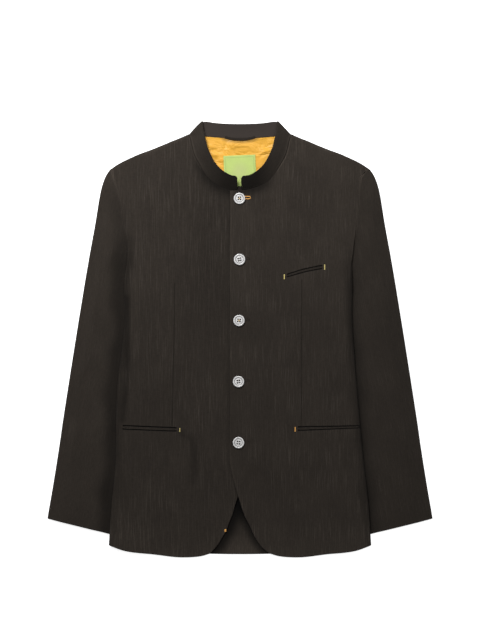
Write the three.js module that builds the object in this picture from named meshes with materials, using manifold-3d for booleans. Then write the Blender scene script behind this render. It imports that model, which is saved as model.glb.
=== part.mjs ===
// A five-button jacket with a stand collar, buttoned and laid flat on its back.
//
// Millimetres, +Z up. The jacket lies on the plane z = 0 with its front upwards. +Y points to the
// collar, -Y to the hem and +X to the wearer's left. The origin is under the middle of the whole
// outline. Sizes are those of a man's small to medium: 460 across the shoulders, 745 from the nape
// to the hem, and a sleeve of 620.
//
// Each panel is a sheet: a grid of points in plan between its own edges, with a height for the face
// below and one for the face above. The panels are laid from the ground up: under sleeves, top
// sleeves, back, lining, fronts. A sheet finds its height from the sheets under it, so no two cross.

import * as THREE from "three";
import { mergeVertices } from "three/addons/utils/BufferGeometryUtils.js";
import Module from "manifold-3d";

const wasm = await Module();
wasm.setup();

// Thicknesses and clearances

const GAP = 0.3; // between pieces that meet, at seams and between layers
const SLEEVE_WALL = 2;
const BACK_WALL = 2;
const FRONT_WALL = 2.4;
const COLLAR_WALL = 2.4;
const LINING_WALL = 1;
const TRIM_WALL = 1;
const EDGE = 4; // an upper layer passes the lower one by this much where it folds down over it
const NARROW = 60; // in rows narrower than this it passes it by less
const REACH = 32; // how far around a point a sheet looks for what it lies on

// Heights of the undersides of the panels where nothing pushes them up

const SLEEVE_LEVEL = SLEEVE_WALL + GAP;
const SLEEVE_LOFT = 3.1; // the air in the sleeve where it shows
const PRESSED_LOFT = 0.6; // and where the body lies on it
const ARMHOLE_LOFT = 0.42; // the share of the loft left at the armhole seam
const ROUNDING = 28; // how far from its edges a sheet reaches its full loft
const FRONT_LEVEL = 5;
const ARMHOLE_LEVEL = 3.6;
const HEM_LEVEL = BACK_WALL + GAP;

// Numbers of rows and columns in the sheets

const ARMHOLE_ROWS = 10;
const UNDERARM_ROWS = 3;
const SLEEVE_ROWS = 12;
const SIDE_ROWS = 12;
const HEM_ROWS = 6;
const SLEEVE_FOLD_ROW = ARMHOLE_ROWS + UNDERARM_ROWS; // where the folded inner edge of a sleeve starts
const SLEEVE_COLUMNS = 6;
const FRONT_COLUMNS = 9;
const BACK_COLUMNS = 16;

// Where the two halves differ: the end of the collar, and the front edge as it curves away from the
// end of the buttons to the hem. An x is measured outwards from the centre line on its own side.

const HALVES = {
  left: {
    sign: 1,
    collarEnd: 2,
    cutaway: [
      [-18, -220],
      [-11, -252],
      [-3, -279.5],
      [4.5, -303.5],
      [10, -318],
      [18, -333],
      [24, -347],
      [32, -361],
      [43, -374],
      [54, -381.5],
    ],
  },
  right: {
    sign: -1,
    collarEnd: 4.5,
    cutaway: [
      [-18, -220],
      [-10, -250],
      [0, -271],
      [9, -296],
      [13, -311],
      [19, -325],
      [24, -339],
      [32, -353],
      [41, -367.5],
      [54, -381.5],
    ],
  },
};

// The front armhole seam, from the shoulder point to the underarm: y, x on the right half, and x on
// the left half

const ARMHOLE = [
  [305, 228, 228],
  [288, 226, 215],
  [268, 219, 212],
  [239, 211, 211],
  [205, 207, 207],
  [174, 200, 203],
  [134, 201, 198],
];

// The fold of the body below it, down to the hem: y, x on the right half, x on the left half

const SIDE = [
  [134, 201, 198],
  [99, 206, 200],
  [35, 205, 200],
  [-19, 210, 203],
  [-72, 217, 207],
  [-143, 220, 213],
  [-217, 221, 220],
  [-291, 228, 228],
  [-366, 233.5, 233.5],
];

// Edges of one half, as x, y

const SHOULDER = [[90, 366], [118, 354.5], [151, 341], [187, 326.5], [217, 312], [228, 305]];
const SLEEVE_OUTER = [[232, 302], [239, 291], [246.5, 270], [258, 206], [269, 145]];
const SLEEVE_LOWER = [[277, 97], [294, -8], [314, -136], [327, -222], [343, -319]];
const UNDERARM = [[190, 126], [158, 112], [134, 94], [127, 74]];
const SLEEVE_HIDDEN = [[127, 74], [168, -120], [213, -351]];
const FRONT_CORNER = [-18, 264.5];
const EDGE_END = [-18, -220];
const FRONT_HEM = [[54, -381.5], [70, -386], [107, -388], [155, -382.5], [205, -376], [233.5, -366]];
const BACK_HEM = [[-229, -365], [-150, -377], [-50, -382], [50, -382], [150, -377], [229, -365]];
const BACK_NECK_RISE = 6;
const BACK_NECK = 359; // the y of the seam at the nape
const NECK_POINT = 88;
const SHOULDER_DROP = 5.2; // keeps the shoulder edge of the back inside the fold of the front

// The collar band, around one half from the fold at the shoulder to the centre front. The band's
// lower edge is sewn to the neck of the front: x, y of the seam, then x, y and height of the free edge.

const COLLAR_FRONT = [
  [90, 366, 68.5, 388.6, 6.6],
  [89.2, 362, 67, 383, 7.6],
  [87.6, 355, 64.6, 372, 9.6],
  [85, 344, 62, 360, 12],
  [80.5, 328, 56.5, 339, 14.5],
  [70.5, 310, 48.5, 321.5, 16],
  [58, 291.5, 40, 308.5, 17],
  [42.5, 277.5, 29, 298.5, 17.5],
  [23, 269, 16, 291.5, 17],
];
const COLLAR_END = { seamY: 265.5, topY: 289, height: 16.5, cornerCut: 4 };

// The same band across the back, from the nape to the fold

const COLLAR_BACK = [
  [0, 359.6, 0, 383.6, 7.6],
  [28, 360.2, 24, 384, 7.2],
  [54, 361.9, 45, 385.2, 5.8],
  [74, 364, 59, 386.8, 3.8],
];
const COLLAR_LOW = 1.4; // the middle of the wall where the band lies on the ground
const COLLAR_SEAM = 6.2; // and where it meets the fronts
const COLLAR_FOLD_TOP = 2.2; // and at the free edge where the fold starts
const COLLAR_FOLD_STEPS = 4;
const COLLAR_CLEAR = 0.9; // keeps the fold clear of the corner of the front
const COLLAR_SEAM_INSET = 1.3; // half the wall's thickness and the gap
const COLLAR_CORNER_RISE = 1.5; // rounds the lower corner at the centre front

// Soft ridges in the cloth: x and y of the two ends, half width, height

const FOLDS = [
  [-213, 40, -222, -190, 15, 0.9],
  [-190, 60, -196, -120, 13, 0.7],
  [-84, -158, -90, -246, 12, 0.8],
  [150, -170, 156, -330, 18, 0.7],
  [-150, -190, -160, -340, 20, 0.6],
  [120, 90, 104, -60, 14, 0.6],
  [-122, 90, -112, -70, 14, 0.6],
  [70, 230, 110, 130, 20, 0.6],
  [-70, 230, -110, 130, 20, 0.6],
  [262, 150, 284, -30, 11, 0.8],
  [-260, 160, -280, 10, 11, 0.8],
  [288, -90, 312, -240, 12, 0.7],
  [-290, -70, -306, -230, 12, 0.7],
];

// Trim on the panels

const LABEL = { size: 57, y: 299.5, turn: 2.5 };
const LOOP = { halfLength: 27, y: 360.4, sag: 4.3, width: 4.5, reach: 8 };
const LINING = { top: -0.9, side: [[73, 362.2], [70, 318], [54, 282], [36, 258]] };
const BUTTON_X = [-0.9, -0.9, -1.8, -2.7, -2.7];
const BUTTON_TOP_Y = 250.5;
const BUTTON_PITCH = 108.4;
const BUTTON = { radius: 10.4, thickness: 3, rim: 1.7, rimDrop: 0.9, holeRadius: 1, holePitch: 3.4 };
const BUTTON_SIDES = 24;
const HOLE_SIDES = 8;
const LOOP_STEPS = 8;
const JET_WIDTH = 2.1;
const JET_ROWS = 12;

// The pockets, each a slit between two jets: name, x and y of the end nearer the front edge, x and y
// of the other end, and how far the middle bows up

const POCKETS = [
  ["hip_pocket_left", 104, -158.6, 213, -155.2, 0],
  ["hip_pocket_right", -114, -160, -207, -156.2, 0],
  ["breast_pocket", 84.6, 113.7, 145, 128.6, 1.5],
];

// Materials

const finish = (color, roughness) => new THREE.MeshStandardMaterial({ color, roughness, metalness: 0 });
const SHELL = finish(0x35302c, 0.92);
const LINING_CLOTH = finish(0xf0b74e, 0.7);
const LABEL_CLOTH = finish(0xc8da82, 0.6);
const PEARL = finish(0xb9b4aa, 0.25);

// Helpers for points and curves in plan

const point = (x, y) => ({ x, y });
const mix = (a, b, t) => a + (b - a) * t;
const blend = (a, b, t) => point(mix(a.x, b.x, t), mix(a.y, b.y, t));
const clamp = (t) => Math.min(1, Math.max(0, t));

function smooth(t) {
  const c = clamp(t);
  return c * c * (3 - 2 * c);
}

function curve(points) {
  const places = points.map(([x, y]) => new THREE.Vector3(x, y, 0));
  return new THREE.CatmullRomCurve3(places, false, "centripetal");
}

function along(points, steps) {
  return curve(points).getSpacedPoints(steps).map((p) => point(p.x, p.y));
}

function onSide(half, points) {
  return points.map(([x, y]) => [half.sign * x, y]);
}

function lineOf(half, table) {
  return table.map(([y, right, left]) => [half.sign * (half.sign < 0 ? right : left), y]);
}

function moved(half, points, outwards) {
  return points.map((p) => point(p.x + half.sign * outwards, p.y));
}

// The armhole has a short first row, so that the sheets can fold down at the shoulder.
function armhole(half) {
  const path = curve(lineOf(half, ARMHOLE));
  const first = 4.5 / path.getLength();
  const rest = ARMHOLE_ROWS - 1;
  const places = [0, ...Array.from({ length: rest + 1 }, (_, i) => mix(first, 1, i / rest))];
  return places.map((t) => path.getPointAt(t)).map((p) => point(p.x, p.y));
}

// The outer edge of the body at a height, on one half
function bodyEdge(half, y) {
  const line = [...ARMHOLE, ...SIDE.slice(1)];
  const k = Math.max(1, line.findIndex((row) => row[0] <= y));
  const [a, b] = [line[k - 1], line[k]];
  const column = half.sign < 0 ? 1 : 2;
  return mix(a[column], b[column], clamp((a[0] - y) / (a[0] - b[0])));
}

// Sheets

// The places of the columns in a row: two close to each end, where the cloth folds down, and the rest even.
function columnPlaces(width, count) {
  const edge = (EDGE * Math.min(1, width / NARROW)) / width;
  const start = 2.5 * edge;
  const middle = Array.from({ length: count + 1 }, (_, i) => mix(start, 1 - start, i / count));
  return [0, edge, ...middle, 1 - edge, 1];
}

// A grid of points between four edges: two lists of row ends, and curves for the first and last rows.
function grid(starts, ends, firstRow, lastRow, count) {
  const last = starts.length - 1;
  return starts.map((start, i) => {
    const end = ends[i];
    const width = Math.hypot(end.x - start.x, end.y - start.y);
    const t = i / last;
    return columnPlaces(width, count).map((u) => {
      const p = blend(start, end, u);
      for (const [row, share, k] of [[firstRow, 1 - t, 0], [lastRow, t, last]]) {
        if (!row) {
          continue;
        }
        const on = row.getPointAt(u);
        const straight = blend(starts[k], ends[k], u);
        p.x += share * (on.x - straight.x);
        p.y += share * (on.y - straight.y);
      }
      return { ...p, u, width, toStart: u * width, toEnd: (1 - u) * width, row: i, rows: last };
    });
  });
}

// The height of a sheet's upper face at a place, or 0 where the sheet doesn't reach
function heightAt(sheet, x, y) {
  let height = 0;
  const rows = sheet.length - 1;
  const columns = sheet[0].length - 1;
  for (let i = 0; i < rows; i++) {
    for (let j = 0; j < columns; j++) {
      const corners = [sheet[i][j], sheet[i][j + 1], sheet[i + 1][j + 1], sheet[i + 1][j]];
      if (corners.every((c) => c.x < x) || corners.every((c) => c.x > x)) {
        continue;
      }
      if (corners.every((c) => c.y < y) || corners.every((c) => c.y > y)) {
        continue;
      }
      for (const [a, b, c] of [[corners[0], corners[1], corners[2]], [corners[0], corners[2], corners[3]]]) {
        const area = (b.x - a.x) * (c.y - a.y) - (c.x - a.x) * (b.y - a.y);
        const s = ((x - a.x) * (c.y - a.y) - (c.x - a.x) * (y - a.y)) / area;
        const t = ((b.x - a.x) * (y - a.y) - (x - a.x) * (b.y - a.y)) / area;
        if (s >= -1e-9 && t >= -1e-9 && s + t <= 1 + 1e-9) {
          height = Math.max(height, a.high + s * (b.high - a.high) + t * (c.high - a.high));
        }
      }
    }
  }
  return height;
}

// The highest point of the sheets below within a distance of a place, where the new sheet covers them
function support(sheets, p, reach, covers) {
  let height = 0;
  for (const radius of [0, reach * 0.35, reach * 0.7, reach]) {
    const steps = radius ? 12 : 1;
    for (let k = 0; k < steps; k++) {
      const angle = (2 * Math.PI * k) / steps;
      const x = p.x + radius * Math.cos(angle);
      const y = p.y + radius * Math.sin(angle);
      if (covers(x, y)) {
        height = Math.max(height, ...sheets.map((sheet) => heightAt(sheet, x, y)));
      }
    }
  }
  return height;
}

// The height that the soft ridges add at a place
function ridge(x, y) {
  let height = 0;
  for (const [x1, y1, x2, y2, halfWidth, rise] of FOLDS) {
    const [dx, dy] = [x2 - x1, y2 - y1];
    const t = ((x - x1) * dx + (y - y1) * dy) / (dx * dx + dy * dy);
    const away = Math.hypot(x - x1 - clamp(t) * dx, y - y1 - clamp(t) * dy);
    const taper = Math.sin(Math.PI * clamp(t));
    height += rise * taper * (1 - smooth(away / (2 * halfWidth)));
  }
  return height;
}

const FLAT = () => 0;
const ALWAYS = () => true;

// Lays a grid of points on the sheets below. level gives the least height of the lower face at a
// point, lift adds to it, and rim names the sheets that count for a point where the cloth folds down
// past the others.
function lay(points, options) {
  const { wall, level = FLAT, lift = FLAT, below = [], rim, reach = REACH, covers = ALWAYS } = options;
  for (const p of points.flat()) {
    const under = rim?.at(p) ? rim.sheets : below;
    const rest = support(under, p, reach, covers);
    p.low = Math.max(level(p), rest ? rest + GAP : 0) + lift(p);
    p.high = p.low + wall;
  }
  return points;
}

// Closed bodies

function signedVolume(positions, triangles) {
  const [a, b, c] = [new THREE.Vector3(), new THREE.Vector3(), new THREE.Vector3()];
  let volume = 0;
  for (const [i, j, k] of triangles) {
    a.fromArray(positions, 3 * i);
    b.fromArray(positions, 3 * j);
    c.fromArray(positions, 3 * k);
    volume += a.dot(b.cross(c)) / 6;
  }
  return volume;
}

function body(positions, triangles) {
  const outward = signedVolume(positions, triangles) > 0;
  const index = triangles.flatMap(([a, b, c]) => (outward ? [a, b, c] : [a, c, b]));
  const geometry = new THREE.BufferGeometry();
  geometry.setAttribute("position", new THREE.Float32BufferAttribute(positions, 3));
  geometry.setIndex(index);
  geometry.computeVertexNormals();
  return geometry;
}

// Two grids of points, one for each face, closed along their four edges
function slab(upper, lower) {
  const rows = upper.length;
  const columns = upper[0].length;
  const positions = [...upper.flat(), ...lower.flat()].flatMap((p) => [p.x, p.y, p.z]);
  const top = (i, j) => i * columns + j;
  const bottom = (i, j) => rows * columns + top(i, j);
  const triangles = [];
  const quad = (a, b, c, d) => triangles.push([a, b, c], [a, c, d]);
  for (let i = 0; i + 1 < rows; i++) {
    for (let j = 0; j + 1 < columns; j++) {
      quad(top(i, j), top(i, j + 1), top(i + 1, j + 1), top(i + 1, j));
      quad(bottom(i, j), bottom(i + 1, j), bottom(i + 1, j + 1), bottom(i, j + 1));
    }
    quad(top(i, 0), top(i + 1, 0), bottom(i + 1, 0), bottom(i, 0));
    quad(top(i + 1, columns - 1), top(i, columns - 1), bottom(i, columns - 1), bottom(i + 1, columns - 1));
  }
  for (let j = 0; j + 1 < columns; j++) {
    quad(top(0, j + 1), top(0, j), bottom(0, j), bottom(0, j + 1));
    quad(top(rows - 1, j), top(rows - 1, j + 1), bottom(rows - 1, j + 1), bottom(rows - 1, j));
  }
  return body(positions, triangles);
}

function sheetGeometry(sheet) {
  const face = (key) => sheet.map((row) => row.map((p) => ({ x: p.x, y: p.y, z: p[key] })));
  return slab(face("high"), face("low"));
}

// Sleeves

function sleeveEnds(half, foldInset) {
  const seam = moved(half, armhole(half), GAP / 2);
  const underarm = along(onSide(half, UNDERARM), UNDERARM_ROWS - 1).slice(0, -1);
  const hidden = along(onSide(half, SLEEVE_HIDDEN), SLEEVE_ROWS);
  const inner = [...seam, ...underarm, ...moved(half, hidden, foldInset)];
  const upper = along(onSide(half, SLEEVE_OUTER), ARMHOLE_ROWS);
  const lower = [SLEEVE_OUTER.at(-1), ...SLEEVE_LOWER];
  const path = curve(onSide(half, lower));
  const rows = UNDERARM_ROWS + SLEEVE_ROWS;
  const rest = path.getSpacedPoints(rows).slice(1);
  const outer = [...upper, ...rest.map((p) => point(p.x, p.y))];
  return [inner, outer];
}

function underSleeve(half) {
  const [inner, outer] = sleeveEnds(half, EDGE + GAP);
  const inset = outer.map((p, i) => {
    const width = Math.hypot(p.x - inner[i].x, p.y - inner[i].y);
    const edge = EDGE * Math.min(1, width / NARROW) + GAP;
    return blend(p, inner[i], edge / width);
  });
  return lay(grid(inner, inset, null, null, SLEEVE_COLUMNS - 2), { wall: SLEEVE_WALL });
}

function topSleeve(half) {
  const [inner, outer] = sleeveEnds(half, 0);
  const folded = (p) => p.toEnd === 0 || (p.toStart === 0 && p.row > SLEEVE_FOLD_ROW);
  const level = (p) => {
    if (folded(p)) {
      return 0;
    }
    const atArmhole = p.row <= ARMHOLE_ROWS;
    const past = half.sign * p.x - bodyEdge(half, p.y) - EDGE;
    const open = atArmhole ? 1 : smooth(past / ROUNDING);
    const cuff = mix(0.5, 1, smooth((p.rows - p.row) / 3));
    const inner = Math.max(atArmhole ? ARMHOLE_LOFT : 0, smooth(p.toStart / ROUNDING));
    return SLEEVE_LEVEL + mix(PRESSED_LOFT, SLEEVE_LOFT, open) * cuff * inner * smooth(p.toEnd / ROUNDING);
  };
  const lift = (p) => (folded(p) ? 0 : ridge(p.x, p.y) * smooth(p.toEnd / ROUNDING));
  return lay(grid(inner, outer, null, null, SLEEVE_COLUMNS), { wall: SLEEVE_WALL, level, lift });
}

// The back, one piece from side to side

function back(sleeves) {
  const rowEnds = (half) => {
    const seam = moved(half, armhole(half), -GAP / 2);
    const fold = along(lineOf(half, SIDE), SIDE_ROWS + HEM_ROWS);
    const side = moved(half, fold, -EDGE - GAP);
    return [...seam.slice(0, -1), ...side];
  };
  const [starts, ends] = [rowEnds(HALVES.right), rowEnds(HALVES.left)];
  const shoulder = (half) => {
    const line = SHOULDER.map(([x, y]) => [x, y - SHOULDER_DROP]);
    const [, tipY] = line.pop();
    return onSide(half, [...line, [bodyEdge(half, tipY) - GAP, tipY]]);
  };
  const [startLine, endLine] = [shoulder(HALVES.right).reverse(), shoulder(HALVES.left)];
  starts[0] = point(...startLine[0]);
  ends[0] = point(...endLine.at(-1));
  const neck = [-0.75, -0.4, 0, 0.4, 0.75].map((t) => [t * NECK_POINT, backNeck(t * NECK_POINT)]);
  const top = curve([...startLine, ...neck, ...endLine]);
  const covers = (x, y) => {
    const half = x < 0 ? HALVES.right : HALVES.left;
    return Math.abs(x) < bodyEdge(half, y) - GAP;
  };
  const points = grid(starts, ends, top, curve(BACK_HEM), BACK_COLUMNS);
  return lay(points, { wall: BACK_WALL, below: sleeves, covers });
}

function backNeck(x) {
  return BACK_NECK + BACK_NECK_RISE * (x / NECK_POINT) ** 2;
}

// The fronts. The left one lies on the right one at the centre.

function front(half, below, rimSheets) {
  const neckLine = [...COLLAR_FRONT, [half.collarEnd, COLLAR_END.seamY], FRONT_CORNER];
  const neck = neckLine.map(([x, y]) => point(half.sign * x, y));
  const edge = along(onSide(half, [FRONT_CORNER, EDGE_END]), SIDE_ROWS).slice(1);
  const cutaway = along(onSide(half, half.cutaway), HEM_ROWS).slice(1);
  const inner = [...neck, ...edge, ...cutaway];
  const seamLine = moved(half, armhole(half), -GAP / 2);
  const side = along(lineOf(half, SIDE), SIDE_ROWS + HEM_ROWS).slice(1);
  const outer = [...seamLine, ...side];
  const shoulder = curve(onSide(half, SHOULDER));
  const hem = curve(onSide(half, FRONT_HEM));
  const points = grid(inner, outer, shoulder, hem, FRONT_COLUMNS);
  const rimAt = (p) => p.row === 0 || (p.toEnd === 0 && p.row > ARMHOLE_ROWS);
  const level = (p) => {
    if (rimAt(p)) {
      return 0;
    }
    const hemShare = smooth((p.rows - p.row) / 3);
    const cut = p.row > ARMHOLE_ROWS + SIDE_ROWS ? smooth(p.toStart / ROUNDING) : 1;
    const sunk = p.row <= ARMHOLE_ROWS ? 1 - smooth(p.toEnd / ROUNDING) : 0;
    return mix(HEM_LEVEL, mix(FRONT_LEVEL, ARMHOLE_LEVEL, sunk), hemShare * cut);
  };
  const covers = (x, y) => {
    const own = x * half.sign;
    return own < bodyEdge(half, y) && own > FRONT_CORNER[0] - REACH;
  };
  const lift = (p) => (rimAt(p) ? 0 : ridge(p.x, p.y));
  const rim = { sheets: rimSheets, at: rimAt };
  return lay(points, { wall: FRONT_WALL, level, lift, below, rim, covers });
}

// The collar

function collarStations() {
  const half = ({ sign, collarEnd }) => {
    const at = (seamX, seamY, seamZ, topX, topY, topZ) => ({
      seam: new THREE.Vector3(sign * seamX, seamY, seamZ),
      top: new THREE.Vector3(sign * topX, topY, topZ),
    });
    const stations = COLLAR_BACK.map(([sx, sy, tx, ty, tz]) => at(sx, sy, COLLAR_LOW, tx, ty, tz));
    const [sx, sy, tx, ty, tz] = COLLAR_FRONT[0];
    const length = Math.hypot(sx - tx, sy - ty);
    const [nx, ny] = [(ty - sy) / length, (sx - tx) / length];
    const radius = (COLLAR_SEAM - COLLAR_LOW) / 2;
    for (let i = 0; i <= COLLAR_FOLD_STEPS; i++) {
      const angle = Math.PI * (i / COLLAR_FOLD_STEPS - 0.5);
      const inset = COLLAR_WALL / 2 + COLLAR_CLEAR + radius * (1 - Math.cos(angle));
      const share = (1 + Math.sin(angle)) / 2;
      const [seamZ, topZ] = [mix(COLLAR_LOW, COLLAR_SEAM, share), mix(COLLAR_FOLD_TOP, tz, share)];
      stations.push(at(sx - nx * inset, sy - ny * inset, seamZ, tx - nx * inset, ty - ny * inset, topZ));
    }
    for (const [x1, y1, x2, y2, z2] of COLLAR_FRONT.slice(2)) {
      const inset = COLLAR_SEAM_INSET / Math.hypot(x2 - x1, y2 - y1);
      stations.push(at(mix(x1, x2, inset), mix(y1, y2, inset), COLLAR_SEAM, x2, y2, z2));
    }
    const { seamY, topY, height, cornerCut } = COLLAR_END;
    const near = collarEnd + cornerCut;
    stations.push(at(near, seamY + COLLAR_CORNER_RISE, COLLAR_SEAM, near, topY, height));
    const [endSeam, endTop] = [COLLAR_SEAM + COLLAR_CORNER_RISE, height - COLLAR_CORNER_RISE];
    stations.push(at(collarEnd, seamY + cornerCut, endSeam, collarEnd, topY - cornerCut, endTop));
    return stations;
  };
  return [...half(HALVES.right).slice(1).reverse(), ...half(HALVES.left)];
}

function collar() {
  const middles = collarStations().map(({ seam, top }) => [0, 0.5, 1].map((t) => seam.clone().lerp(top, t)));
  const face = (distance) =>
    middles.map((row, i) =>
      row.map((p, j) => {
        const before = middles[Math.max(0, i - 1)][j];
        const after = middles[Math.min(middles.length - 1, i + 1)][j];
        const across = row[2].clone().sub(row[0]);
        const normal = across.cross(after.clone().sub(before)).normalize();
        return p.clone().addScaledVector(normal, distance);
      }),
    );
  return slab(face(COLLAR_WALL / 2), face(-COLLAR_WALL / 2));
}

// Lining, label and hanger loop, inside the neck

function lining(backSheet) {
  const side = (half) => along(onSide(half, LINING.side), 6);
  const [starts, ends] = [side(HALVES.right), side(HALVES.left)];
  const tops = [-1, -0.5, 0, 0.5, 1].map((t) => t * LINING.side[0][0]);
  const top = curve(tops.map((x) => [x, backNeck(x) + LINING.top]));
  return lay(grid(starts, ends, top, null, 4), { wall: LINING_WALL, below: [backSheet] });
}

function label(liningSheet) {
  const { size, y, turn } = LABEL;
  const edge = (side) =>
    [1, -1].map((end) => {
      const corner = new THREE.Vector2((side * size) / 2, (end * size) / 2);
      corner.rotateAround(new THREE.Vector2(), THREE.MathUtils.degToRad(turn));
      return point(corner.x, y + corner.y);
    });
  return lay(grid(edge(-1), edge(1), null, null, 1), { wall: TRIM_WALL, below: [liningSheet] });
}

function loop(liningSheet) {
  const { halfLength, y, sag, width, reach } = LOOP;
  const middle = [0, y - sag];
  const line = (offset) => {
    const points = [[-halfLength, y], middle, [halfLength, y]];
    return along(points.map(([px, py]) => [px, py + offset]), LOOP_STEPS);
  };
  const starts = line(width / 2);
  const ends = line(-width / 2);
  const points = grid(starts, ends, null, null, 1);
  return lay(points, { wall: TRIM_WALL, below: [liningSheet], reach });
}

// One jet of a pocket: a narrow strip on the front, made from the front's own points
function jet([, x1, y1, x2, y2, bow], side, frontSheet) {
  const line = (offset) => {
    const middle = [(x1 + x2) / 2, (y1 + y2) / 2 + bow + offset];
    return along([[x1, y1 + offset], middle, [x2, y2 + offset]], JET_ROWS);
  };
  const near = (side * GAP) / 2;
  const far = near + side * JET_WIDTH;
  const [starts, ends] = [line(far), line(near)];
  const points = starts.map((start, i) => [start, ends[i]]);
  return lay(points, { wall: TRIM_WALL, below: [frontSheet], reach: 5 });
}

// Buttons: a disc with a raised rim and four holes

function button() {
  const { radius, thickness, rim, rimDrop, holeRadius, holePitch } = BUTTON;
  const floor = thickness - rimDrop;
  const profile = [
    [0, 0],
    [radius - 1.2, 0],
    [radius, 1.1],
    [radius - 0.3, thickness - 0.3],
    [radius - rim / 2, thickness],
    [radius - rim, thickness - 0.3],
    [radius - rim - 1.1, floor],
    [0, floor],
  ];
  const outline = profile.map(([x, y]) => new THREE.Vector2(x, y));
  const disc = new THREE.LatheGeometry(outline, BUTTON_SIDES).rotateX(Math.PI / 2);
  let solid = manifoldOf(disc);
  for (let i = 0; i < 4; i++) {
    const angle = Math.PI * (i / 2 + 0.25);
    const hole = new THREE.CylinderGeometry(holeRadius, holeRadius, 3 * thickness, HOLE_SIDES);
    hole.rotateX(Math.PI / 2);
    const away = holePitch / Math.SQRT2;
    hole.translate(away * Math.cos(angle), away * Math.sin(angle), 0);
    solid = solid.subtract(manifoldOf(hole));
  }
  const { vertProperties, triVerts } = solid.getMesh();
  const geometry = new THREE.BufferGeometry();
  geometry.setAttribute("position", new THREE.BufferAttribute(vertProperties, 3));
  geometry.setIndex(new THREE.BufferAttribute(triVerts, 1));
  return geometry;
}

function manifoldOf(geometry) {
  geometry.deleteAttribute("normal");
  geometry.deleteAttribute("uv");
  const merged = mergeVertices(geometry, 1e-4);
  const vertProperties = merged.attributes.position.array;
  const triVerts = new Uint32Array(merged.index.array);
  return new wasm.Manifold(new wasm.Mesh({ numProp: 3, vertProperties, triVerts }));
}

// The whole jacket

const jacket = new THREE.Group();

function add(name, geometry, material) {
  const mesh = new THREE.Mesh(geometry, material);
  mesh.name = name;
  jacket.add(mesh);
  return mesh;
}

const { left, right } = HALVES;
const topSleeves = {};
for (const [name, half] of Object.entries(HALVES)) {
  add(`under_sleeve_${name}`, sheetGeometry(underSleeve(half)), SHELL);
  topSleeves[name] = topSleeve(half);
  add(`top_sleeve_${name}`, sheetGeometry(topSleeves[name]), SHELL);
}
const sleeves = Object.values(topSleeves);
const backSheet = back(sleeves);
add("back", sheetGeometry(backSheet), SHELL);

const liningSheet = lining(backSheet);
const labelSheet = label(liningSheet);
const loopSheet = loop(liningSheet);
add("back_lining", sheetGeometry(liningSheet), LINING_CLOTH);
add("neck_label", sheetGeometry(labelSheet), LABEL_CLOTH);
add("hanger_loop", sheetGeometry(loopSheet), SHELL);

const inside = [backSheet, liningSheet, labelSheet, ...sleeves];
const frontRight = front(right, inside, sleeves);
const frontLeft = front(left, [...inside, frontRight], sleeves);
add("front_right", sheetGeometry(frontRight), SHELL);
add("front_left", sheetGeometry(frontLeft), SHELL);
add("collar", collar(), SHELL);

for (const pocket of POCKETS) {
  const sheet = pocket[1] < 0 ? frontRight : frontLeft;
  add(`${pocket[0]}_upper_jet`, sheetGeometry(jet(pocket, 1, sheet)), SHELL);
  add(`${pocket[0]}_lower_jet`, sheetGeometry(jet(pocket, -1, sheet)), SHELL);
}

BUTTON_X.forEach((x, i) => {
  const place = point(x, BUTTON_TOP_Y - i * BUTTON_PITCH);
  const mesh = add(`button_${i + 1}`, button(), PEARL);
  mesh.position.set(place.x, place.y, support([frontLeft], place, BUTTON.radius, ALWAYS) + GAP);
});

export default jacket;
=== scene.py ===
import math

import bmesh
import bpy
import numpy as np
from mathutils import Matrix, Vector
from mathutils.bvhtree import BVHTree


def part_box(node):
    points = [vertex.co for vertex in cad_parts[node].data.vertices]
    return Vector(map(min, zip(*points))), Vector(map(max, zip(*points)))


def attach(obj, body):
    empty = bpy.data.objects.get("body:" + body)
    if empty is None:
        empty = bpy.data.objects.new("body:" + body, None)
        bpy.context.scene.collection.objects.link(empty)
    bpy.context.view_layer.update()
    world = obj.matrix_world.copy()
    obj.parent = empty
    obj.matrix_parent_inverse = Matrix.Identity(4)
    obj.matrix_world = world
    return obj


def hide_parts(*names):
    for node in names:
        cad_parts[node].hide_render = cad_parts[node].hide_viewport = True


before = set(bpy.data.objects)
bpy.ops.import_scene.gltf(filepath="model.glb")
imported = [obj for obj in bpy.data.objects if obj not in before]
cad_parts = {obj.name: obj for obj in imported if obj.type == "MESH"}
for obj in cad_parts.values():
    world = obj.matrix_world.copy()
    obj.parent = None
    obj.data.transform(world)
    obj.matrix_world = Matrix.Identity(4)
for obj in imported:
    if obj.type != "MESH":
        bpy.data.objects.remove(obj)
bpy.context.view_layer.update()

bl_info = {
    "name": "Five-button jacket",
    "version": (1, 0, 0),
    "blender": (4, 5, 0),
    "location": "3D View > Sidebar > Jacket",
    "description": "A jacket with a stand collar, buttoned and laid flat on its back",
    "category": "Object",
}

# The tables are in millimetres, as x and y in plan. +X is the wearer's left, +Y the collar. An x of one half is
# measured outwards from the centre line.

MM = 0.001
SIGN = {"left": 1, "right": -1}
GAP = 0.3  # between pieces that meet
EDGE = 4  # how far an upper layer passes the lower one that it folds down over

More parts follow.
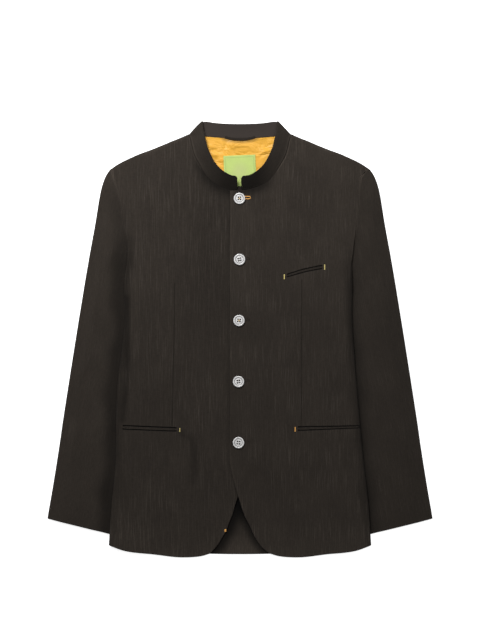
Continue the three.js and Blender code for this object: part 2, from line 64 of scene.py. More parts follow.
ARMHOLE = {
    "right": [(228, 305), (226, 288), (219, 268), (211, 239), (207, 205), (200, 174), (201, 134)],
    "left": [(228, 305), (215, 288), (212, 268), (211, 239), (207, 205), (203, 174), (198, 134)],
}
SIDE_Y = [134, 99, 35, -19, -72, -143, -217, -291, -366]
SIDE_X = {
    "right": [201, 206, 205, 210, 217, 220, 221, 228, 233.5],
    "left": [198, 200, 200, 203, 207, 213, 220, 228, 233.5],
}
SHOULDER = [(90, 366), (118, 354.5), (151, 341), (187, 326.5), (217, 312), (228, 305)]
SLEEVE_OUTER = [(232, 302), (239, 291), (246.5, 270), (258, 206), (269, 145)]
SLEEVE_LOWER = [(269, 145), (277, 97), (294, -8), (314, -136), (327, -222), (343, -319)]
UNDERARM = [(194, 160), (183, 142), (158, 114), (134, 94), (127, 74)]
SLEEVE_TUCK = 1.3  # how far the sleeve goes under the body at the end of the armhole
TUCK_RUN = 14  # the length over which it gets there
SLEEVE_HIDDEN = [(127, 74), (168, -120), (213, -351)]
FRONT_CORNER = (-18, 264.5)
EDGE_END = (-18, -220)
CUTAWAY = {
    "left": [(-18, -220), (-11, -252), (-3, -279.5), (4.5, -303.5), (10, -318), (18, -333), (24, -347), (32, -361),
             (43, -374), (54, -381.5)],
    "right": [(-18, -220), (-10, -250), (0, -271), (9, -296), (13, -311), (19, -325), (24, -339), (32, -353),
              (41, -367.5), (54, -381.5)],
}
FRONT_HEM = [(54, -381.5), (70, -386), (107, -388), (155, -382.5), (205, -376), (233.5, -366)]
BACK_HEM = [(-229, -365), (-150, -377), (-50, -382), (50, -382), (150, -377), (229, -365)]
BACK_NECK = 359
BACK_NECK_RISE = 6
NECK_POINT = 88
SHOULDER_DROP = 5.2
LINING_SIDE = [(73, 362.2), (70, 318), (54, 282), (36, 258)]
LINING_DROP = 0.9

# The collar around one half. Front: x, y of the seam, then x, y and height of the free edge. The back's columns are
# the same, from the nape to the fold at the shoulder.
COLLAR_FRONT = [
    (90, 366, 68.5, 388.6, 6.6),
    (89.2, 362, 67, 383, 7.6),
    (87.6, 355, 64.6, 372, 9.6),
    (85, 344, 62, 360, 12),
    (80.5, 328, 56.5, 339, 14.5),
    (70.5, 310, 48.5, 321.5, 16),
    (58, 291.5, 40, 308.5, 17),
    (42.5, 277.5, 29, 298.5, 17.5),
    (23, 269, 16, 291.5, 17),
]
COLLAR_BACK = [
    (0, 359.6, 0, 383.7, 4.6),
    (28, 360.2, 24, 384.2, 4.4),
    (54, 361.9, 45, 385.8, 3.8),
    (74, 364, 59, 388.0, 3.0),
]
# The end of the neck line. Between the ends of the collar the lower front stands up a little.
NECK_END = {
    "left": [(12, 266.5), (2, 265.5), FRONT_CORNER],
    "right": [(12, 267), (7, 269.5), (2, 273.5), (-2.5, 272), (-8, 266.5), FRONT_CORNER],
}
COLLAR_END = {"left": 2, "right": 4.5}
COLLAR_END_SEAM = 265.5
COLLAR_END_TOP = 289
COLLAR_END_HEIGHT = 16.5
COLLAR_CORNER = 3
COLLAR_LOW = 1.4
COLLAR_SEAM = 6.2
COLLAR_FOLD_TOP = 2.2
COLLAR_LAP = 1.1
COLLAR_PEAK = 1.2
COLLAR_TUCK = 1.0
COLLAR_FACING = 40  # how far the inner face is moved in the cloth's own coordinates

# Pockets: name, half, x and y of the end nearer the front edge, x and y of the other end, bow of the middle, and how
# far the lips stand apart at the two ends
POCKETS = [
    ("hip_pocket_left", "left", 104, -158.6, 213, -155.2, 0, 1.0, 0.45),
    ("hip_pocket_right", "right", -114, -160, -207, -156.2, 0, 0.92, 1.0),
    ("breast_pocket", "left", 84.6, 113.7, 145, 128.6, 1.5, 0.7, 0.85),
]

BUTTONS_X = [-0.9, -0.9, -1.8, -2.7, -2.7]
BUTTON_TOP_Y = 250.5
BUTTON_PITCH = 108.4
BUTTON_TURNS = [0.0, 0.22, -0.1, 0.12, -0.05]
BUTTON_THREADS = ["cross", "bars", "cross", "bars", "bars"]

# Creases: x1, y1, x2, y2, half width, height (a trough where it is less than 0), sideways bow of the middle
FRONT_CREASES = [
    (-84, -158, -91, -250, 5, 0.9, 3),
    (-96, -165, -100, -225, 6, -0.7, 2),
    (6, 238, 40, 196, 10, 1.0, 5),
    (30, 246, 62, 214, 9, -0.8, 4),
    (-40, 250, -76, 196, 11, 0.8, -5),
    (-52, 262, -104, 222, 10, -0.6, 3),
    (-180, 220, -150, 120, 12, 0.9, 6),
    (176, 215, 148, 150, 11, 0.8, -5),
    (-186, 120, -178, 20, 8, 1.0, 4),
    (-196, 92, -198, -60, 7, -1.2, 3),
    (190, 110, 184, 10, 8, 0.9, -4),
    (192, 40, 196, -90, 7, 0.8, 3),
    (-160, 90, -150, -40, 12, 0.7, 5),
    (-60, 60, -66, -100, 13, 0.7, 6),
    (60, 40, 66, -90, 13, 0.7, -6),
    (150, 60, 148, -80, 12, 0.8, -5),
    (-170, -180, -182, -320, 10, 0.9, 4),
    (-128, -190, -140, -330, 12, -0.7, -5),
    (-70, -240, -62, -350, 11, 0.8, 3),
    (80, -190, 88, -330, 12, 0.8, -4),
    (128, -200, 136, -340, 10, -0.7, 4),
    (180, -190, 192, -330, 11, 0.9, 3),
    (40, -150, 46, -260, 12, 0.6, 3),
    (-205, -200, -212, -330, 8, 0.8, -2),
    (-30, 180, -34, 60, 10, 0.6, 3),
    (-100, 320, -140, 262, 12, 0.7, 6),
    (108, 322, 150, 262, 12, 0.7, -6),
    (-190, 300, -176, 240, 9, 0.7, -4),
    (186, 300, 176, 236, 9, 0.7, 4),
]
SLEEVE_CREASES = {
    "left": [
        (226, 210, 240, 120, 7, 1.0, 4),
        (216, 150, 236, 60, 8, 1.2, 5),
        (246, 100, 262, -10, 8, 1.0, -5),
        (222, 40, 240, -60, 8, -1.0, 4),
        (268, 20, 286, -80, 7, 0.9, 4),
        (232, -90, 262, -140, 8, 1.0, 6),
        (272, -120, 300, -210, 9, 1.0, -5),
        (246, -180, 262, -280, 9, -0.8, 4),
        (290, -230, 312, -300, 8, 0.8, 3),
        (240, 280, 250, 220, 6, 0.8, -3),
    ],
    "right": [
        (-226, 200, -238, 110, 7, 1.0, -4),
        (-222, 130, -232, 20, 8, 1.1, 5),
        (-252, 90, -268, -20, 8, 0.9, 4),
        (-236, 10, -246, -100, 7, -1.1, -4),
        (-272, -30, -290, -130, 8, 1.0, 5),
        (-240, -120, -266, -170, 8, 1.0, -6),
        (-282, -150, -306, -240, 9, 0.9, 4),
        (-252, -210, -268, -300, 9, -0.8, -4),
        (-236, -240, -250, -320, 7, 0.8, 3),
        (-238, 282, -250, 214, 6, 0.8, 3),
    ],
}
BACK_CREASES = [
    (-120, 280, -60, 120, 22, 1.0, 14),
    (110, 300, 70, 140, 20, 0.9, -12),
    (-150, 60, -130, -140, 18, 1.1, 10),
    (-30, 90, -44, -120, 16, 0.8, -9),
    (60, 60, 84, -160, 18, 1.0, 8),
    (150, -20, 140, -200, 20, 0.9, -9),
    (-90, -180, -110, -350, 16, 0.9, 6),
    (18.5, -270, 18.5, -378, 3.5, 1.1, 1),
    (-20, -200, -14, -370, 13, 0.8, 5),
    (80, -210, 96, -350, 17, 0.9, -7),
]
UNDER_CREASES = {
    "left": [
        (190, 60, 226, -90, 12, 0.8, 8),
        (230, -60, 262, -240, 14, 0.9, -8),
        (262, 60, 288, -100, 11, 0.7, 6),
    ],
    "right": [
        (-186, 30, -220, -110, 13, 0.9, 8),
        (-236, -90, -264, -250, 13, 0.8, -7),
        (-258, 90, -282, -60, 11, 0.7, 5),
    ],
}
LINING_CREASES = [
    (-56, 340, -28, 322, 4.5, 0.7, 3),
    (-50, 322, -20, 334, 4, -0.6, 2),
    (26, 346, 56, 326, 4.5, 0.7, -3),
    (34, 352, 60, 344, 3.5, -0.5, 1),
    (-20, 346, 22, 343, 5, 0.6, -3),
    (-62, 352, -48, 300, 4, 0.6, 3),
    (62, 350, 46, 300, 4, 0.6, -3),
    (-8, 338, 20, 331, 3.5, -0.5, 1),
]

LOOP = {"half": 27, "y": 360.4, "sag": 4.3}
# Painted shadow of the hanger loop on the lining: brightness by distance from the loop's middle line
LOOP_SHADE = [(2.3, 0.45), (5, 0.55), (9, 1)]

# Soft shade where the cloth turns away, in millimetres from the body's edge: (distance, brightness)
EDGE_SHADE = {
    "right": {"body": [(0, 0.56), (5, 0.6), (10, 0.8), (16, 1)],
              "sleeve": [(0, 0.46), (5, 0.43), (11, 0.47), (17, 0.64), (24, 0.87), (31, 1)]},
    "left": {"body": [(0, 0.27), (3, 0.43), (7, 0.58), (12, 0.79), (16, 1)],
             "sleeve": [(0, 0.33), (3, 0.49), (8, 0.7), (14, 0.85), (22, 1)]},
}
# How strong it is from the hem up: (y, share)
EDGE_SHADE_RUN = {
    "right": {
        "body": [(-330, 0.2), (-286, 0.3), (-215, 0.55), (-143, 0.8), (0, 0.9), (141, 1), (170, 0.8), (225, 0.3),
                 (262, 0)],
        "sleeve": [(-340, 1), (0, 1), (70, 0.95), (141, 0.85), (195, 0.55), (235, 0.3), (285, 0)],
    },
    "left": {
        "body": [(-340, 0.5), (-286, 0.6), (-179, 0.7), (-72, 0.6), (35, 1), (100, 1), (120, 0.8), (137, 0.4),
                 (155, 0.15), (175, 0.05), (300, 0)],
        "sleeve": [(-340, 1), (-72, 1), (35, 0.7), (106, 0.6), (125, 0.4), (150, 0.15), (195, 0.15), (300, 0)],
    },
}
# Painted light along the armhole seam, lifting the shade of its groove on both pieces: by distance, and how much by y
ARMHOLE_SHADE = [(0, 1.5), (1.2, 1.35), (2.5, 1)]
ARMHOLE_RUN = [(165, 0), (185, 0.6), (270, 0.8), (292, 1.6), (304, 1.6)]
# Soft folds on the right front, as points in plan, and their shade by distance
SIDE_FOLD = [(-201, 75), (-199, 0), (-201, -72), (-208, -143)]
SIDE_FOLD_SHADE = [(0, 0.62), (3, 0.7), (7, 1)]
POCKET_FOLD = [(-104, -168), (-88, -176), (-81, -200), (-84, -252)]
POCKET_FOLD_SHADE = [(0, 0.74), (4, 0.84), (10, 1)]
# Where the left front laps over the right one: painted shade on the cloth below it, and a painted highlight on its own
# edge
LAP_SHADE = {"right": [(0, 0.88), (2, 0.9), (5, 1)], "left": [(0, 1), (1, 1.22), (2.4, 1.22), (4.5, 1)]}
# Slow changes of light over the body: by y, and by x above the waist
SLOPE_SHADE = [(-380, 1.22), (-345, 1.16), (-315, 1.04), (-250, 0.98), (-200, 1), (60, 1), (130, 1.06), (230, 1.08),
               (300, 1.14), (340, 1.2)]
CHEST_SHADE = [(-240, 1.06), (-150, 1.04), (-100, 1), (-60, 0.84), (-18, 0.86), (-16, 1.12), (60, 1.08), (90, 1),
               (130, 1.06), (230, 1.06)]
# Painted shadow under the collar, by distance from its seam, and how strong it is by x
CHIN_SHADE = [(0, 0.33), (5, 0.39), (9, 0.58), (14, 0.79), (22, 1)]
CHIN_RUN = [(-90, 0), (-75, 0.5), (-64, 0.8), (-45, 1), (0, 1), (36, 1), (50, 0.75), (62, 0.2), (70, 0)]
# Painted light and shade on the outer face of the collar's front by x, darkest near the centre
COLLAR_SHADE = [(-90, 1.4), (-78, 1.2), (-62, 0.92), (-43, 0.68), (-30, 0.47), (-15, 0.38), (10, 0.36), (32, 0.42),
                (45, 0.64), (60, 0.9), (75, 1), (90, 1.12)]
# Painted shade in the neck seam on the fronts and a painted highlight on the edge stitches beside it, by distance
NECK_SEAM_SHADE = [(0, 0.4), (0.6, 0.55), (1.3, 1.6), (2.2, 1.6), (3.4, 1)]
# Painted shade at the collar's seam and a painted highlight just above it, by distance from the seam
COLLAR_EDGE_SHADE = [(0, 0.5), (1.6, 0.6), (2.6, 1.5), (3.6, 1.45), (5, 1)]
# Painted light and shade in the opening at the hem: by y, by distance from the right front's edge and from the left
# front's
OPENING_SHADE = [(-380, 1.55), (-371, 1.5), (-357, 1.35), (-339, 1.05), (-321, 0.86), (-307, 0.6), (-294, 0.35)]
OPENING_RIGHT = [(0, 0.17), (6, 0.2), (10, 0.35), (16, 0.7), (22, 1)]
OPENING_LEFT = [(0, 0.22), (4, 0.33), (9, 0.55), (14, 1)]

GROUND = 0.05  # the height of the lowest faces
NEAR_EDGE = np.array([0, 0.15, 0.5, 1.0, 1.7, 2.6, 4.0, 6.0])
FOLD_WIDTH = 6.0
SEAM_ROUNDING = 0.6
SLEEVE_LEAN = math.radians(9.5)
SLEEVE_CROWN = 3.2
# How much the sleeve is raised along the armhole, to meet the front: (y, height)
SLEEVE_HEAD = [(150, 0), (172, 0.5), (186, 1.2), (196, 1.45), (212, 0.8), (228, 0.5), (290, 0.5), (304, 0.1)]
NARROW = 60  # a panel narrower than this has the points beside its edges closer together


# Sizes and colours that a user would change


def length(name, default, description, low=0.0002, high=0.05):
    return bpy.props.FloatProperty(
        name=name, description=description, default=default, min=low, max=high, precision=4, unit="LENGTH",
    )


def share(name, default, description):
    return bpy.props.FloatProperty(
        name=name, description=description, default=default, min=0, max=2, subtype="FACTOR",
    )


def colour(name, default, description):
    return bpy.props.FloatVectorProperty(
        name=name, description=description, default=default, size=4, min=0, max=1, subtype="COLOR",
    )


class JacketSizes(bpy.types.PropertyGroup):
    front_step: length("Front step", 0.003, "Distance between the points of the fronts and the sleeves")
    back_step: length("Back step", 0.0048, "Distance between the points of the back and the under sleeves")
    front_wall: length("Front thickness", 0.0024, "Thickness of a front with its facing")
    sleeve_wall: length("Sleeve thickness", 0.002, "Thickness of a sleeve panel with its lining")
    back_wall: length("Back thickness", 0.002, "Thickness of the back with its lining")
    lining_wall: length("Lining thickness", 0.001, "Thickness of the neck lining and the label")
    collar_wall: length("Collar thickness", 0.0024, "Thickness of the collar band")
    crease_depth: share("Crease depth", 1.0, "Scales all the creases placed by hand")
    button_radius: length("Button radius", 0.0101, "Half the width of a button")
    button_thickness: length("Button thickness", 0.003, "Height of a button's rim")


class JacketColours(bpy.types.PropertyGroup):
    cloth: colour("Cloth", (0.0238, 0.0192, 0.0154, 1), "Dark slub cloth of the shell")
    streak: colour("Streak", (0.0400, 0.0330, 0.0270, 1), "Thicker, paler threads in the cloth")
    lining: colour("Lining", (0.76, 0.385, 0.034, 1), "Orange lining inside the neck")
    label: colour("Label", (0.475, 0.60, 0.17, 1), "Green woven neck label")
    pearl: colour("Button", (0.62, 0.61, 0.60, 1), "Pearl grey of the buttons")
    thread: colour("Thread", (1.0, 0.52, 0.12, 1), "Orange thread of the top buttonhole")
    tack: colour("Tack", (0.74, 0.62, 0.22, 1), "Yellow thread of the pocket ends")


def sizes():
    return bpy.context.scene.jacket_sizes


def colours():
    return bpy.context.scene.jacket_colours


# Curves in plan


def curve_points(points, per_segment=24):
    """Close points on the smooth curve through the given ones."""
    p = np.asarray(points, float)
    p = np.vstack([2 * p[0] - p[1], p, 2 * p[-1] - p[-2]])
    t = np.linspace(0, 1, per_segment, endpoint=False)[:, None]
    out = []
    for a, b, c, d in zip(p, p[1:], p[2:], p[3:]):
        k0, k1, k2 = (math.sqrt(np.linalg.norm(v)) for v in (b - a, c - b, d - c))
        m1 = ((b - a) / k0 - (c - a) / (k0 + k1) + (c - b) / k1) * k1
        m2 = ((c - b) / k1 - (d - b) / (k1 + k2) + (d - c) / k2) * k1
        out.append(b + m1 * t + (3 * (c - b) - 2 * m1 - m2) * t**2 + (2 * (b - c) + m1 + m2) * t**3)
    return np.vstack([*out, p[-2:-1]])


def run_length(line):
    return np.concatenate([[0], np.cumsum(np.linalg.norm(np.diff(line, axis=0), axis=1))])


def along(points, places):
    """Points of that curve at shares of its length."""
    line = curve_points(points)
    run = run_length(line)
    at = np.asarray(places, float) * run[-1]
    return np.column_stack([np.interp(at, run, line[:, k]) for k in range(line.shape[1])])


def on_side(half, points):
    return [(SIGN[half] * x, y) for x, y in points]


def moved(half, points, outwards):
    return [(x + SIGN[half] * outwards, y) for x, y in points]


def side_line(half):
    return [(x, y) for x, y in zip(SIDE_X[half], SIDE_Y)]


def body_edge(half, y):
    points = [*ARMHOLE[half], *side_line(half)[1:]]
    xs, ys = zip(*points[::-1])
    return float(np.interp(y, ys, xs))


def back_neck(x):
    return BACK_NECK + BACK_NECK_RISE * (x / NECK_POINT) ** 2


# Grids between the edges of a panel


def stops(total, step):
    """Shares of a length: close together near its ends, and even between them."""
    near = NEAR_EDGE * min(1, total / NARROW)
    count = max(2, round((total - 2 * near[-1]) / step))
    middle = np.linspace(near[-1], total - near[-1], count + 1)[1:-1]
    return np.concatenate([near, middle, (total - near)[::-1]]) / total


def row_ends(sections, cuts, places):
    """Points along one side, given as sections: a table of points and the shares of it that are used."""
    points = np.zeros((len(places), 2))
    for (table, low, high), start, end in zip(sections, cuts, cuts[1:]):
        inside = (places >= start) & (places <= end)
        local = (places[inside] - start) / (end - start)
        points[inside] = along(table, low + (high - low) * local)
    return points


def section_length(section):
    table, low, high = section
    return run_length(curve_points(table))[-1] * (high - low)


def panel_grid(starts, ends, first=None, last=None, step=3.0):
    """Points in plan between two sides made of sections, and curves for the first and last rows."""
    lengths = [(section_length(a) + section_length(b)) / 2 for a, b in zip(starts, ends)]
    cuts = np.concatenate([[0], np.cumsum(lengths)]) / sum(lengths)
    places = stops(sum(lengths), step)
    for cut in cuts[1:-1]:
        places[np.argmin(abs(places - cut))] = cut
    cuts[-1] = places[-1] = 1
    left, right = row_ends(starts, cuts, places), row_ends(ends, cuts, places)
    widths = np.linalg.norm(right - left, axis=1)
    columns = len(stops(widths.max(), step))
    even = (columns - 2 * len(NEAR_EDGE)) + 1
    u = []
    for width in widths:
        near = NEAR_EDGE * min(1, width / NARROW)
        middle = np.linspace(near[-1], width - near[-1], even + 1)[1:-1]
        u.append(np.concatenate([near, middle, (width - near)[::-1]]) / max(width, 1e-6))
    u = np.array(u)[..., None]
    xy = left[:, None] * (1 - u) + right[:, None] * u
    for table, k, weight in ((first, 0, 1 - places), (last, -1, places)):
        if table is not None:
            on = along(table, u[k, :, 0])
            xy = xy + weight[:, None, None] * (on - xy[k])[None]
    return xy


def distance_to(line, points):
    """Distance in plan from each point to a line of points."""
    flat = points.reshape(-1, 2)
    out = np.full(len(flat), np.inf)
    for a, b in zip(line[:-1], line[1:]):
        ab = b - a
        size = ab @ ab
        if size < 1e-12:
            continue
        t = np.clip(((flat - a) @ ab) / size, 0, 1)
        out = np.minimum(out, np.linalg.norm(flat - a - t[:, None] * ab, axis=1))
    return out.reshape(points.shape[:-1])


# Heights


def tree_of(obj):
    mesh = obj.data
    mesh.calc_loop_triangles()
    corners = [tuple(v.co) for v in mesh.vertices]
    return BVHTree.FromPolygons(corners, [tuple(t.vertices) for t in mesh.loop_triangles])


def top_of(tree, xy, fallback=True):
    """Height of a shape's upper face over each point, in millimetres."""
    flat = xy.reshape(-1, 2) * MM
    down = Vector((0, 0, -1))
    out = np.full(len(flat), -1.0)
    for i, (x, y) in enumerate(flat):
        hit = tree.ray_cast(Vector((x, y, 0.2)), down)[0]
        if hit is None and fallback:
            hit = tree.find_nearest(Vector((x, y, 0.02)))[0]
        if hit is not None:
            out[i] = hit.z / MM
    return out.reshape(xy.shape[:-1])


def smooth_field(field, sigma):
    """A field averaged over its neighbours in both directions, sigma in steps of the grid."""
    reach = int(3 * sigma) + 1
    weights = np.exp(-0.5 * (np.arange(-reach, reach + 1) / sigma) ** 2)
    weights /= weights.sum()
    for axis in (0, 1):
        pad = [(reach, reach) if k == axis else (0, 0) for k in (0, 1)]
        wide = np.pad(field, pad, mode="edge")
        field = sum(w * np.take(wide, np.arange(field.shape[axis]) + i, axis=axis) for i, w in enumerate(weights))
    return field


def crease_field(xy, table):
    """Height that soft creases add: each has its own length, width, height and bow, and fades at its ends."""
    x, y = xy[..., 0], xy[..., 1]
    total = np.zeros(x.shape)
    for k, (x1, y1, x2, y2, half_width, height, bow) in enumerate(table):
        dx, dy = x2 - x1, y2 - y1
        size = math.hypot(dx, dy)
        t = ((x - x1) * dx + (y - y1) * dy) / size**2
        inside = np.clip(t, 0, 1)
        across = ((x - x1) * dy - (y - y1) * dx) / size
        across = across - bow * np.sin(math.pi * inside) - 0.12 * half_width * np.sin(9 * inside + k)
        past = np.maximum(0, np.maximum(-t, t - 1)) * size
        taper = np.sin(math.pi * np.clip(0.06 + 0.88 * inside, 0, 1)) ** 0.8
        side = np.where(across > 0, 1.35, 0.85)
        away = np.hypot(across / side, past) / half_width
        total += height * taper * np.exp(-1.1 * away**2)
    return total


def ripple(xy, size, seed):
    """A slow unevenness of the cloth, from -1 to 1."""
    x, y = xy[..., 0] / size, xy[..., 1] / size
    return (
        np.sin(2.1 * x + 0.7 * np.sin(1.3 * y + seed) + seed)
        * np.sin(1.4 * y + 0.9 * np.sin(1.7 * x + 2 * seed) + 1.7 * seed)
        + 0.5 * np.sin(4.3 * x + 1.9 * np.sin(0.9 * y) + 3 * seed) * np.sin(2.2 * y + 1.1 * seed)
    ) / 1.5


def stops_at(table, value):
    """Value of a table of pairs, in order of the first, at a place or a distance."""
    keys, values = zip(*table)
    return np.interp(value, keys, values)


def softened(shade, share):
    return 1 - (1 - shade) * share


# Meshes


def object_of(name, points, faces, uv, material, shade=1.0):
    """A smooth mesh. shade is the brightness of the cloth at each point."""
    mesh = bpy.data.meshes.new(name)
    mesh.from_pydata((np.asarray(points, float) * MM).tolist(), [], faces)
    brightness = mesh.attributes.new("shade", "FLOAT", "POINT")
    brightness.data.foreach_set("value", np.broadcast_to(np.asarray(shade, float), len(points)).ravel().copy())
    layer = mesh.uv_layers.new(name="grain")
    index = np.zeros(len(mesh.loops), int)
    mesh.loops.foreach_get("vertex_index", index)
    layer.data.foreach_set("uv", (np.asarray(uv, float) * MM)[index].ravel())
    mesh.validate()
    mesh.update()
    mesh.shade_smooth()
    obj = bpy.data.objects.new(name, mesh)
    bpy.context.scene.collection.objects.link(obj)
    mesh.materials.append(material)
    return obj


def tube(path, wide, tall, sides=6, power=(1, 1)):
    """Points and faces of a closed bar along a path. wide and tall are its half sizes across and upwards."""
    path = np.asarray(path, float)
    direction = np.gradient(path[:, :2], axis=0)
    direction /= np.linalg.norm(direction, axis=1, keepdims=True)
    sideways = np.column_stack([-direction[:, 1], direction[:, 0]])
    angles = np.linspace(0, 2 * math.pi, sides, endpoint=False)
    c, s = (np.sign(v) * abs(v) ** k for v, k in zip((np.cos(angles), np.sin(angles)), power))
    wide, tall = (np.broadcast_to(v, len(path)).reshape(-1, 1) for v in (wide, tall))
    plan = path[:, None, :2] + sideways[:, None] * (wide * c)[..., None]
    points = np.concatenate([plan, (path[:, 2:] + tall * s)[..., None]], axis=2).reshape(-1, 3)
    faces = [tuple(range(sides))[::-1], tuple(range(len(points) - sides, len(points)))]
    for i in range(0, len(points) - sides, sides):
        for j in range(sides):
            a, b = i + j, i + (j + 1) % sides
            faces.append((a, b, b + sides, a + sides))
    return points, faces


def joined(parts):
    points, faces = [], []
    for some, their_faces in parts:
        faces += [tuple(k + len(points) for k in face) for face in their_faces]
        points += list(some)
    return np.array(points), faces


def shell_mesh(name, xy, top, bottom, uv, material, shade):
    """A closed sheet: two faces over the same grid that share its outer points."""
    rows, columns = top.shape
    upper = np.arange(rows * columns).reshape(rows, columns)
    lower = upper.copy()
    inner = (rows - 2) * (columns - 2)
    lower[1:-1, 1:-1] = rows * columns + np.arange(inner).reshape(rows - 2, columns - 2)
    points = np.vstack([
        np.column_stack([xy.reshape(-1, 2), top.ravel()]),
        np.column_stack([xy[1:-1, 1:-1].reshape(-1, 2), bottom[1:-1, 1:-1].ravel()]),
    ])
    uvs = np.vstack([uv.reshape(-1, 2), uv[1:-1, 1:-1].reshape(-1, 2)])
    quads = lambda k: np.stack([k[:-1, :-1], k[:-1, 1:], k[1:, 1:], k[1:, :-1]], axis=-1).reshape(-1, 4)
    a, b = quads(upper), quads(lower)
    p, q, r = (points[a[len(a) // 2, k]] for k in (0, 1, 2))
    upwards = (q[0] - p[0]) * (r[1] - p[1]) - (q[1] - p[1]) * (r[0] - p[0]) > 0
    a, b = (a, b[:, ::-1]) if upwards else (a[:, ::-1], b)
    brightness = np.concatenate([np.broadcast_to(shade, top.shape).ravel(), np.ones(inner)])
    return object_of(name, points, np.vstack([a, b]).tolist(), uvs, material, brightness)


def quarter(t):
    t = np.clip(t, 0, 1)
    return np.sqrt(np.maximum(0, 1 - (1 - t) ** 2))


def sheet_heights(xy, top, wall, folds=(), under=(), crease=0, gap=0.15):
    """Faces of a sheet. top is its upper face in the solid model. folds names the sides where the cloth turns down
    to what it lies on: start, end or first. under holds the shapes that it has to stay above."""
    edge = len(NEAR_EDGE) - 1
    rows, columns = top.shape
    core = top[edge : rows - edge, edge : columns - edge]
    body = np.pad(smooth_field(core, 2.2), edge, mode="edge") + crease
    free = np.ones(top.shape, bool)
    for side in folds:
        if side == "start":
            free[:, :edge] = False
        if side == "end":
            free[:, -edge:] = False
        if side == "first":
            free[:edge] = False
    floor = np.full(top.shape, GROUND)
    for tree in under:
        floor = np.maximum(floor, np.where(free, top_of(tree, xy, fallback=False) + gap, 0))
    need = np.where(free, np.maximum(0, floor - (body - wall)), 0)
    if need.max() > 0:
        body = body + smooth_field(need, 1.2)
        need = np.where(free, np.maximum(0, floor - (body - wall)), 0)
        body = body + need
    high, low = body, body - wall
    half = wall / 2
    for side in folds:
        if side == "first":
            away = np.linalg.norm(xy - xy[:1], axis=2)
            rim = smooth_field(top[:1], 4)[0][None, :] - half
        else:
            column = np.s_[:, :1] if side == "start" else np.s_[:, -1:]
            away = np.linalg.norm(xy - xy[column], axis=2)
            rim = smooth_field(top[column], 4) - half
        rim = np.maximum(rim, half + GROUND)
        high = np.where(away < FOLD_WIDTH, rim + (high - rim) * quarter(away / FOLD_WIDTH), high)
        inner = (away - wall * 0.8) / (FOLD_WIDTH - wall * 0.8)
        rest = rim - half * quarter(away / 0.6)
        low = np.where(away < FOLD_WIDTH, rest + np.maximum(0, low - rest) * quarter(inner), low)
    return high, np.minimum(low, high)


def rounded(xy, high, low, wall, folds=(), seams=()):
    """The faces with their edges rounded: a free edge by half the wall, a sewn one (side, low and high y) by less."""
    middle, half = (high + low) / 2, (high - low) / 2
    edges = {"start": xy[:, 0], "end": xy[:, -1], "first": xy[0], "last": xy[-1]}
    for side, line in edges.items():
        if side in folds or run_length(line)[-1] < 1:
            continue
        sewn = np.zeros(len(line), bool)
        for name, bottom, top in seams:
            if name == side:
                sewn |= (line[:, 1] >= bottom) & (line[:, 1] <= top)
        for chosen, radius in ((sewn, SEAM_ROUNDING), (~sewn, wall / 2)):
            for part in np.split(np.arange(len(line)), np.flatnonzero(np.diff(chosen)) + 1):
                if chosen[part[0]] and len(part) > 1:
                    half = half * quarter(distance_to(line[part], xy) / radius)
        half[{"start": np.s_[:, 0], "end": np.s_[:, -1], "first": np.s_[0], "last": np.s_[-1]}[side]] = 0
    return middle + half, middle - half


def settle(obj, node):
    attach(obj, "root")
    if node:
        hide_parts(node)


BUILT = {}


def finish_sheet(
    name, node, xy, high, low, wall, uv, material, folds=(), seams=(), shade=1.0,
):
    high, low = rounded(xy, high, low, wall, folds, seams)
    obj = shell_mesh(name, xy, high, low, uv, material, shade)
    settle(obj, node)
    BUILT[name] = tree_of(obj)
    return obj


# Shared effects


def group(name, inputs, outputs):
    """A new node group: its tree, a builder for it, its incoming values and its outgoing sockets."""
    tree = bpy.data.node_groups.new(name, "ShaderNodeTree")
    for label, kind, default in inputs:
        socket = tree.interface.new_socket(label, in_out="INPUT", socket_type=f"NodeSocket{kind}")
        if default is not None:
            socket.default_value = default
    for label, kind in outputs:
        tree.interface.new_socket(label, in_out="OUTPUT", socket_type=f"NodeSocket{kind}")
    n = Nodes(tree)
    return tree, n, n.add("NodeGroupInput").outputs, n.add("NodeGroupOutput").inputs


